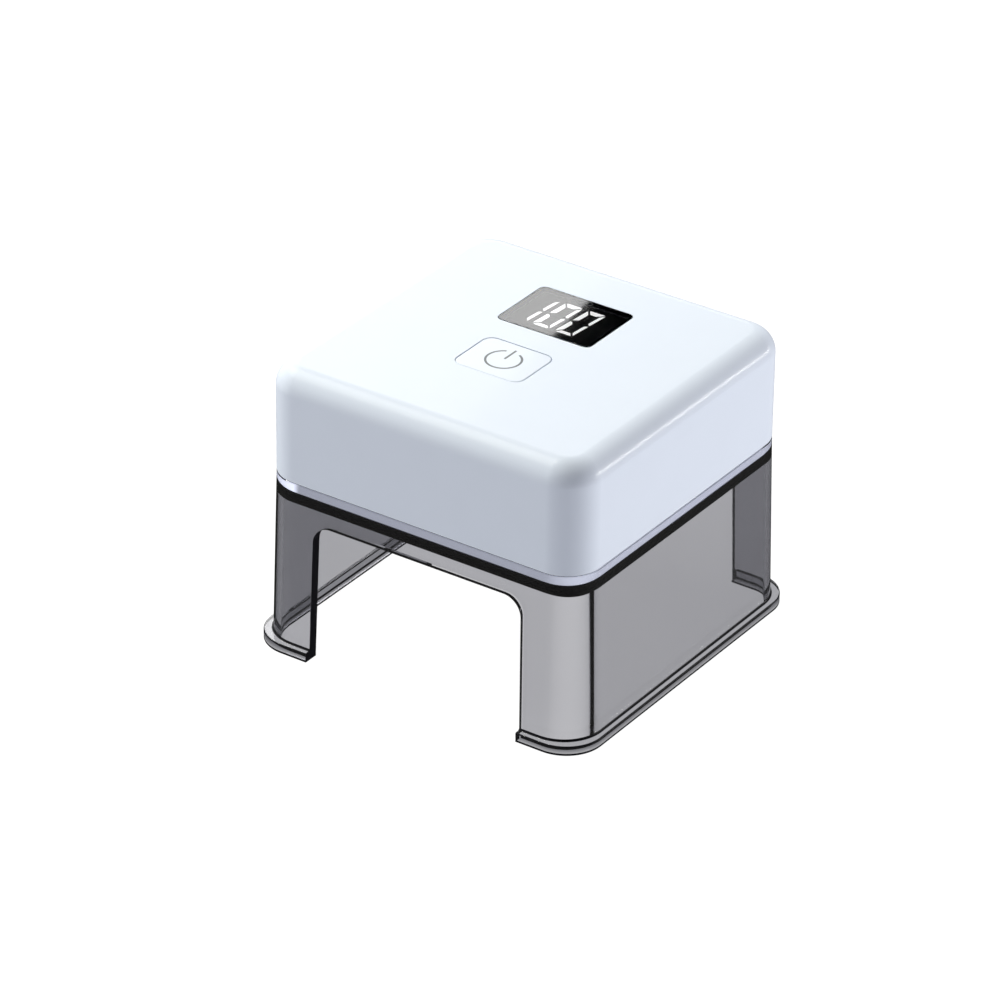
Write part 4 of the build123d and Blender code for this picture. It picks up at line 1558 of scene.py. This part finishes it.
@dataclass
class PowerKey:
    """The key with its flange and stem, and the power sign set into it."""

    edge: float = 0.35
    flange_z: float = 61.5
    flange_reach: float = 1.2
    stem_radius: float = 2.6
    stem_foot: float = 59.9
    stem: float = 1.8
    ring_radius: float = 3.75
    line: float = 0.5
    opening: float = 50.0
    bar_low: float = 0.3
    bar_length: float = 4.3
    depth: float = 0.2

    def build(self) -> list[bpy.types.Object]:
        """Builds the key, cuts the sign's groove and fills it.

        Returns:
            The key and its sign.
        """
        flange = replace(KEY_CAP.grown(self.flange_reach, self.flange_z), corner=KEY_CAP.corner)
        outlines = [flange, flange.at(KEY_CAP.z), KEY_CAP]
        for inwards, up in arc(self.edge, 4):
            outlines.append(KEY_CAP.grown(-inwards, HEAD_TOP - self.edge + up))
        key = stacked("white_power_key", outlines, steps=12)
        stem = rod("stem", self.stem_radius, (KEY_CAP.x, KEY_CAP.y, self.stem_foot), self.stem, 40)
        combine(key, [stem], Cut.ADD)
        for groove in self.sign(HEAD_TOP + OVERLAP):
            combine(key, [groove], Cut.TAKE_AWAY)
        sign = joined("power_sign", self.sign(HEAD_TOP))
        for piece in (key, sign):
            smooth(piece, 30.0)
        return [
            finished(key, WHITE_KEY, "key_white", "power_key", body=Body.KEY),
            finished(sign, SYMBOL_PAINT, "symbol_grey", "power_symbol", body=Body.KEY),
        ]

    def sign(self, top: float) -> list[bpy.types.Object]:
        """The open ring, spun from its section, and the bar, both from the groove's floor up.

        Args:
            top: The height of their upper faces.

        Returns:
            The ring and the bar.
        """
        low, half, x, y = HEAD_TOP - self.depth, self.line / 2, KEY_CAP.x, KEY_CAP.y
        middle, gap = x + self.ring_radius, math.radians(self.opening / 2)
        ring = box("ring", (middle - half, y, low), (middle + half, y + NEAR, top))
        choose(ring, "FACE", lambda face: face.normal.y < 0.5)
        bpy.ops.mesh.delete(type="FACE")
        done()
        about = Matrix.Translation((x, y, 0))
        ring.matrix_world = about @ Matrix.Rotation(math.pi / 2 + gap, 4, "Z") @ about.inverted()
        settle(ring)
        edit(ring)
        bpy.ops.mesh.spin(
            steps=60, angle=-(2 * math.pi - 2 * gap), center=(x, y, 0), axis=(0, 0, 1), dupli=False,
            use_auto_merge=False,
        )
        done()
        start = y + self.bar_low
        return [ring, box("bar", (x - half, start, low), (x + half, start + self.bar_length, top))]


# Underside


@dataclass
class BottomCover:
    """The black plate under the head: a window for the lamp, a rim inside, and sunk screw seats."""

    half: float = 34.6
    corner: float = 3.6
    rim: float = 1.2
    rim_height: float = 2.3
    window_half: float = 26.0
    window_corner: float = 4.0
    bezel: float = 0.8
    bezel_edge: float = 0.12
    seat_radius: float = 2.3
    hole: float = 6.0
    side_hole: float = 2.0
    edge: float = 0.2

    def build(self) -> bpy.types.Object:
        """Builds the plate as one closed ring and cuts its screw holes.

        Returns:
            The cover.
        """
        low, rim_top = LEDGE_BOTTOM, COVER_TOP + self.rim_height
        outer = Outline.square(self.half, self.corner, low)
        inside = outer.grown(-self.rim, rim_top)
        window = Outline.square(self.window_half, self.window_corner, COVER_TOP)
        outlines = [
            *eased(outer, self.edge, low),
            outer.at(rim_top),
            inside,
            inside.at(COVER_TOP),
            window,
            window.at(low + self.bezel),
            window.grown(self.bezel_edge, low + self.bezel - 0.2),
            window.grown(self.bezel - 0.15, low + 0.08),
            window.grown(self.bezel + 0.05, low),
        ]
        cover = stacked("black_bottom_cover", outlines, steps=12, capped=False)
        for place in corners(COVER_SCREW_AT):
            seat = rod("seat", self.seat_radius, (*place, low - PAST), SCREW_SEAT - low + PAST, 40)
            combine(cover, [seat], Cut.TAKE_AWAY)
            combine(cover, [screw_hole(place, low - PAST, self.hole)], Cut.TAKE_AWAY)
        for place in sides(REFLECTOR_SCREW_AT):
            hole = screw_hole(place, COVER_TOP - self.side_hole, self.side_hole + PAST)
            combine(cover, [hole], Cut.TAKE_AWAY)
        smooth(cover, 30.0)
        return finished(cover, BLACK_COVER, "cover_black", "bottom_cover")


@dataclass
class Reflector:
    """The silvered plate with a curved cup round each lamp bead."""

    half: float = 32.9
    corner_cut: float = 11.15
    raised_corner: float = 3.7
    raised_edge: float = 0.15
    low: float = 35.35
    mouth: float = 5.6
    throat: float = 2.7
    past_mouth: float = 0.4
    past_throat: float = 0.5
    cup_bends: int = 5

    def build(self) -> bpy.types.Object:
        """Builds the plate and cuts its cups and screw holes.

        Returns:
            The reflector.
        """
        plate = flat_shape("silver_reflector", self.plate_outline(), COVER_TOP, BEAD_TOP, 0.0)
        raised = Outline.square(BEAD_AREA_HALF, self.raised_corner, self.low)
        outlines = [
            raised.grown(-self.raised_edge, self.low),
            raised.at(self.low + self.raised_edge),
            raised.at(COVER_TOP + OVERLAP),
        ]
        combine(plate, [stacked("raised", outlines, steps=10)], Cut.ADD)
        cup = self.cup()
        cutters = [copied(cup, (x, y, 0.0)) for x, y in bead_places()]
        bpy.data.objects.remove(cup)
        through = BEAD_TOP - COVER_TOP + 2 * PAST
        cutters += [screw_hole(place, COVER_TOP - PAST, through) for place in sides(REFLECTOR_SCREW_AT)]
        for cutter in cutters:
            combine(plate, [cutter], Cut.TAKE_AWAY)
        smooth(plate, 40.0)
        return finished(plate, SILVER, "reflector_silver", "reflector")

    def plate_outline(self) -> list[Pair]:
        """The square plate with its four corners cut off.

        Returns:
            The outline.
        """
        half, near = self.half, self.half - self.corner_cut
        return [
            (near, -half), (half, -near), (half, near), (near, half),
            (-near, half), (-half, near), (-half, -near), (-near, -half),
        ]

    def cup(self) -> bpy.types.Object:
        """The cutter of one cup: a cone whose side is divided and swelled to a curve.

        Returns:
            The cutter.
        """
        height = BEAD_TOP - self.low
        cutter = rod("cup", self.mouth, (0.0, 0.0, self.low), height, 40, self.throat)
        choose_edges(cutter, lambda a, b: abs(a.z - b.z) > height / 2)
        bpy.ops.mesh.subdivide(number_cuts=self.cup_bends)
        done()
        for step in range(1, self.cup_bends + 1):
            share = step / (self.cup_bends + 1)
            z = self.low + height * share
            straight = self.mouth + (self.throat - self.mouth) * share
            curved = math.sqrt(self.mouth**2 + (self.throat**2 - self.mouth**2) * share)
            choose(cutter, "VERT", lambda vertex: abs(vertex.co.z - z) < 0.02)
            scale(curved / straight, curved / straight, z)
        choose(cutter, "FACE", lambda face: face.normal.z < -LEVEL)
        extrude(-self.past_mouth)
        choose(cutter, "FACE", lambda face: face.normal.z > LEVEL)
        extrude(self.past_throat)
        return cutter


@dataclass
class LampBeads:
    """The lamp beads: a moulded package with a phosphor well, and a clear dome on each."""

    side: float = 3.5
    corner: float = 0.25
    low: float = 37.35
    edge: float = 0.08
    dome: float = 1.4
    well: float = 1.55
    well_floor: float = 1.4
    well_depth: float = 0.1
    well_start: float = 0.5

    def build(self) -> list[bpy.types.Object]:
        """Models one package and one dome and copies them over the reflector's cups.

        Returns:
            The packages and the domes.
        """
        package = rounded_block("package", Outline.square(self.side / 2, self.corner, self.low), BEAD_TOP, 4)
        round_edges(package, self.edge, 2)
        start, depth = (0, 0, self.low - self.well_start), self.well_start + self.well_depth
        combine(package, [rod("well", self.well, start, depth, 32, self.well_floor)], Cut.TAKE_AWAY)
        rows = []
        for name, bead in (("lamp_bead_bodies", package), ("lamp_bead_domes", self.dome_shape())):
            rows.append(joined(name, [copied(bead, (x, y, 0.0)) for x, y in bead_places()]))
            bpy.data.objects.remove(bead)
            smooth(rows[-1], 35.0)
        packages, domes = rows
        return [
            finished(packages, BEAD_BODY, "bead_yellow", "bead_packages"),
            finished(domes, BEAD_DOME, "dome_clear", "bead_domes"),
        ]

    def dome_shape(self) -> bpy.types.Object:
        """The lower half of a ball, cut level and closed.

        Returns:
            The dome.
        """
        deselect()
        bpy.ops.mesh.primitive_uv_sphere_add(
            segments=32, ring_count=16, radius=self.dome, location=(0, 0, self.low)
        )
        ball = named(bpy.context.object, "dome")
        settle(ball)
        edit(ball)
        bpy.ops.mesh.bisect(
            plane_co=(0, 0, self.low - NEAR), plane_no=(0, 0, 1), use_fill=True, clear_outer=True,
            clear_inner=False,
        )
        done()
        face_outwards(ball)
        return ball


@dataclass
class CoverScrews:
    """The four cross-head screws of the cover."""

    head_radius: float = 2.0
    head: float = 1.4
    head_edge: float = 0.45
    shank_radius: float = 1.0
    shank: float = 6.0
    shank_root: float = 0.2
    cross_half: float = 1.2
    cross_line: float = 0.5
    cross_depth: float = 0.7
    cross_start: float = 0.5
    cross_taper: Pair = (0.6, 0.8)

    def build(self) -> bpy.types.Object:
        """Models one screw and copies it to the four corners.

        Returns:
            The screws.
        """
        low = SCREW_SEAT - self.head
        screw = rod("screw", self.head_radius, (0, 0, low), self.head, 40)
        choose_edges(screw, lambda a, b: max(a.z, b.z) < low + NEAR)
        bevel(self.head_edge, 5)
        half, line = self.cross_half, self.cross_line / 2
        start, floor = low - self.cross_start, low + self.cross_depth
        for turn in (0.0, 90.0):
            slot = box("slot", (-half, -line, start), (half, line, floor))
            choose(slot, "FACE", lambda face: face.normal.z > LEVEL)
            scale(*self.cross_taper, floor)
            slot.rotation_euler = (0.0, 0.0, math.radians(turn))
            settle(slot)
            combine(screw, [slot], Cut.TAKE_AWAY)
        root = (0, 0, SCREW_SEAT - self.shank_root)
        combine(screw, [rod("shank", self.shank_radius, root, self.shank + self.shank_root, 24)], Cut.ADD)
        screws = joined("steel_cover_screws", [copied(screw, (x, y, 0)) for x, y in corners(COVER_SCREW_AT)])
        bpy.data.objects.remove(screw)
        smooth(screws, 35.0)
        return finished(screws, SCREW_STEEL, "steel", "cover_screws")


@dataclass
class ChargeSocket:
    """The USB-C socket in the rear wall: a folded shell, and a tongue with its contacts."""

    sheet: float = 0.3
    mouth: float = 37.7
    mouth_edge: float = 0.08
    depth: float = 7.35
    base: float = 2.0
    base_corner: float = 1.3
    tongue_half: float = 3.35
    tongue_thick: float = 0.7
    tongue_reach: float = 4.5
    tongue_edge: float = 0.12
    contacts: int = 12
    contact_pitch: float = 0.5
    contact_half: float = 0.12
    contact_start: float = 1.0
    contact_length: float = 3.0
    contact_edge: float = 0.02
    contact_proud: float = 0.03
    contact_sunk: float = 0.02

    @property
    def rear(self) -> float:
        """The depth in the head at which the shell and the tongue's base end."""
        return self.mouth - self.depth

    def build(self) -> list[bpy.types.Object]:
        """Builds the shell standing and lays it back into the wall, with the tongue inside.

        Returns:
            The shell, the tongue and the contacts.
        """
        edge = self.mouth_edge
        inner = SOCKET.grown(-self.sheet, self.rear)
        outlines = [
            SOCKET.at(self.rear), SOCKET.at(self.mouth - edge), SOCKET.grown(-edge, self.mouth),
            inner.grown(edge, self.mouth), inner.at(self.mouth - edge), inner,
        ]
        shell = stacked("steel_socket_shell", outlines, steps=12, capped=False)
        smooth(laid_back(shell, SOCKET_Z), 35.0)
        return [
            finished(shell, SOCKET_STEEL, "socket_steel", "usb_socket_shell"),
            finished(self.tongue(), TONGUE_BLACK, "tongue_black", "usb_socket_tongue"),
            finished(self.contact_row(), GILT, "socket_steel"),
        ]

    def tongue(self) -> bpy.types.Object:
        """The inner block with its contact tongue.

        Returns:
            The tongue.
        """
        base = replace(SOCKET.grown(-self.sheet, self.rear), corner=self.base_corner)
        front = self.rear + self.base
        block = laid_back(rounded_block("black_socket_tongue", base, front, 10), SOCKET_Z)
        half, thick, tip = self.tongue_half, self.tongue_thick / 2, front + self.tongue_reach
        plate = box("plate", (-half, front - 0.5, SOCKET_Z - thick), (half, tip, SOCKET_Z + thick))
        round_edges(plate, self.tongue_edge, 2)
        combine(block, [plate], Cut.ADD)
        smooth(block, 35.0)
        return block

    def contact_row(self) -> bpy.types.Object:
        """The contacts on both faces of the tongue: one strip, copied.

        Returns:
            The contacts.
        """
        proud, sunk, half = self.contact_proud, self.contact_sunk, self.contact_half
        z, start = SOCKET_Z + self.tongue_thick / 2, self.rear + self.base + self.contact_start
        under = sunk - proud - self.tongue_thick
        first = box("contact", (-half, start, z - sunk), (half, start + self.contact_length, z + proud))
        round_edges(first, self.contact_edge, 1)
        strips = []
        for index in range(self.contacts):
            x = (index - (self.contacts - 1) / 2) * self.contact_pitch
            strips += [copied(first, (x, 0, step)) for step in (0, under)]
        bpy.data.objects.remove(first)
        return joined("gilt_socket_contacts", strips)


# Studio


@dataclass
class Softbox:
    """A rectangular studio light aimed at a point."""

    name: str
    place: Point
    aim: Point
    width: float
    height: float
    power: float
    colour: Colour = (1.0, 1.0, 1.0)

    def build(self) -> bpy.types.Object:
        """Adds the light, hidden from the camera itself.

        Returns:
            The light.
        """
        light = bpy.data.lights.new(self.name, "AREA")
        light.shape = "RECTANGLE"
        light.size, light.size_y = self.width, self.height
        light.energy = self.power
        light.color = self.colour
        obj = bpy.data.objects.new(self.name, light)
        bpy.context.scene.collection.objects.link(obj)
        obj.location = self.place
        obj.rotation_euler = (Vector(self.aim) - Vector(self.place)).to_track_quat("-Z", "Y").to_euler()
        obj.visible_camera = False
        return obj


@dataclass
class Studio:
    """The pale floor, the soft light and the camera at the photograph's angle, all in metres."""

    azimuth: float = 34.20
    elevation: float = 29.75
    roll: float = 0.763
    distance: float = 1.1265
    aim: Point = (0.002647, -0.01316, 0.035354)
    lens: float = 198.176
    sensor: float = 36.0
    mirrored_edge: tuple[Pair, Pair] = ((-0.0006, 0.0233), (0.002, 0.006))
    card_distance: float = 1.5
    card_size: Pair = (1.1, 0.8)
    card_power: float = 11.0
    light_aim: Point = (0.0, 0.0, 0.05)

    def build(self) -> None:
        """Builds the whole studio."""
        self.floor()
        self.lights()
        self.camera()

    def back(self) -> Vector:
        """The direction from the lamp back to the camera."""
        turn, tilt = math.radians(self.azimuth), math.radians(self.elevation)
        return Vector((math.sin(turn) * math.cos(tilt), -math.cos(turn) * math.cos(tilt), math.sin(tilt)))

    def eye(self) -> Vector:
        """Where the camera stands."""
        return Vector(self.aim) + self.back() * self.distance

    def camera(self) -> None:
        """Adds the camera, turned by its small roll."""
        turn, roll, back = math.radians(self.azimuth), math.radians(self.roll), self.back()
        right = Vector((math.cos(turn), math.sin(turn), 0.0))
        up = back.cross(right)
        across = math.cos(roll) * right + math.sin(roll) * up
        upright = math.cos(roll) * up - math.sin(roll) * right
        data = bpy.data.cameras.new("camera")
        data.sensor_width, data.lens = self.sensor, self.lens
        data.clip_start, data.clip_end = 0.05, 50.0
        camera = bpy.data.objects.new("camera", data)
        bpy.context.scene.collection.objects.link(camera)
        axes = Matrix((across, upright, back)).transposed().to_4x4()
        camera.matrix_world = Matrix.Translation(self.eye()) @ axes
        bpy.context.scene.camera = camera

    def card_behind(self) -> None:
        """Adds the white card behind, whose edge the display window mirrors from rear to front."""
        rear, front = (Vector((*point, HEAD_TOP * MILLIMETRE)) for point in self.mirrored_edge)
        eye = self.eye()
        seen = ((rear + front) / 2 - eye).normalized()
        away = Vector((seen.x, seen.y, -seen.z))
        middle = (rear + front) / 2 + away * self.card_distance
        hits = []
        for point in (rear, front):
            ray = (point - eye).normalized()
            ray.z = -ray.z
            hits.append(point + ray * ((middle - point).dot(away) / ray.dot(away)))
        along = (hits[0] - hits[1]).normalized()
        across = along.cross(away).normalized()
        if across.x > 0:
            across = -across
        width, height = self.card_size
        card = Softbox("card behind", (0, 0, 0), (0, 0, 0), width, height, self.card_power).build()
        side = -across if across.cross(along).dot(away) < 0 else across
        axes = Matrix((side, along, side.cross(along))).transposed()
        place = (hits[0] + hits[1]) / 2 + across * width / 2
        card.matrix_world = Matrix.Translation(place) @ axes.to_4x4()

    def floor(self) -> None:
        """Adds the floor, lit evenly and clear from below."""
        deselect()
        bpy.ops.mesh.primitive_plane_add(size=12.0, location=(0, 0, -0.0001))
        floor = named(bpy.context.object, "floor")
        recipe = Recipe("pale floor")
        paint = recipe.blend(recipe.noise(300.0, 2.0), (0.09, 0.09, 0.09), (0.1, 0.1, 0.1))
        recipe.set(
            Base_Color=paint, Roughness=0.9, Specular_IOR_Level=0.0, Emission_Color=(1, 1, 1, 1),
            Emission_Strength=1.0,
        )
        recipe.let_through(recipe.node("NewGeometry").outputs["Backfacing"])
        floor.data.materials.append(recipe.material)
        floor.visible_glossy = False

    def lights(self) -> None:
        """Sets the even light all round, the softboxes and the view of the colours."""
        scene = bpy.context.scene
        world = bpy.data.worlds.new("studio")
        scene.world = world
        world.use_nodes = True
        background = world.node_tree.nodes["Background"]
        background.inputs["Color"].default_value = (0.75, 0.8, 1.0, 1.0)
        background.inputs["Strength"].default_value = 0.08
        world.cycles_visibility.glossy = False
        self.card_behind()
        Softbox(
            "overhead", place=(-0.8, -0.09, 1.1), aim=self.light_aim, width=0.9, height=0.9, power=28.4,
            colour=(1.0, 1.0, 0.9),
        ).build()
        Softbox(
            "side", place=(1.05, 0.95, 0.1), aim=self.light_aim, width=0.8, height=0.2, power=15.0,
            colour=(1.0, 0.99, 0.94),
        ).build()
        scene.view_settings.view_transform = "Standard"


def main() -> None:
    """Builds the studio and every piece, in order."""
    logging.basicConfig(level=logging.INFO, format="%(name)s: %(message)s")
    Studio().build()
    for piece in (
        SmokedStand(), HeadShell(), DisplayWindow(), DigitBars(), PowerKey(), BottomCover(), Reflector(),
        LampBeads(), CoverScrews(), ChargeSocket(),
    ):
        piece.build()
    InnerParts(frame["nodes"]).dress(NODE_FINISHES)


if __name__ == "__main__":
    main()
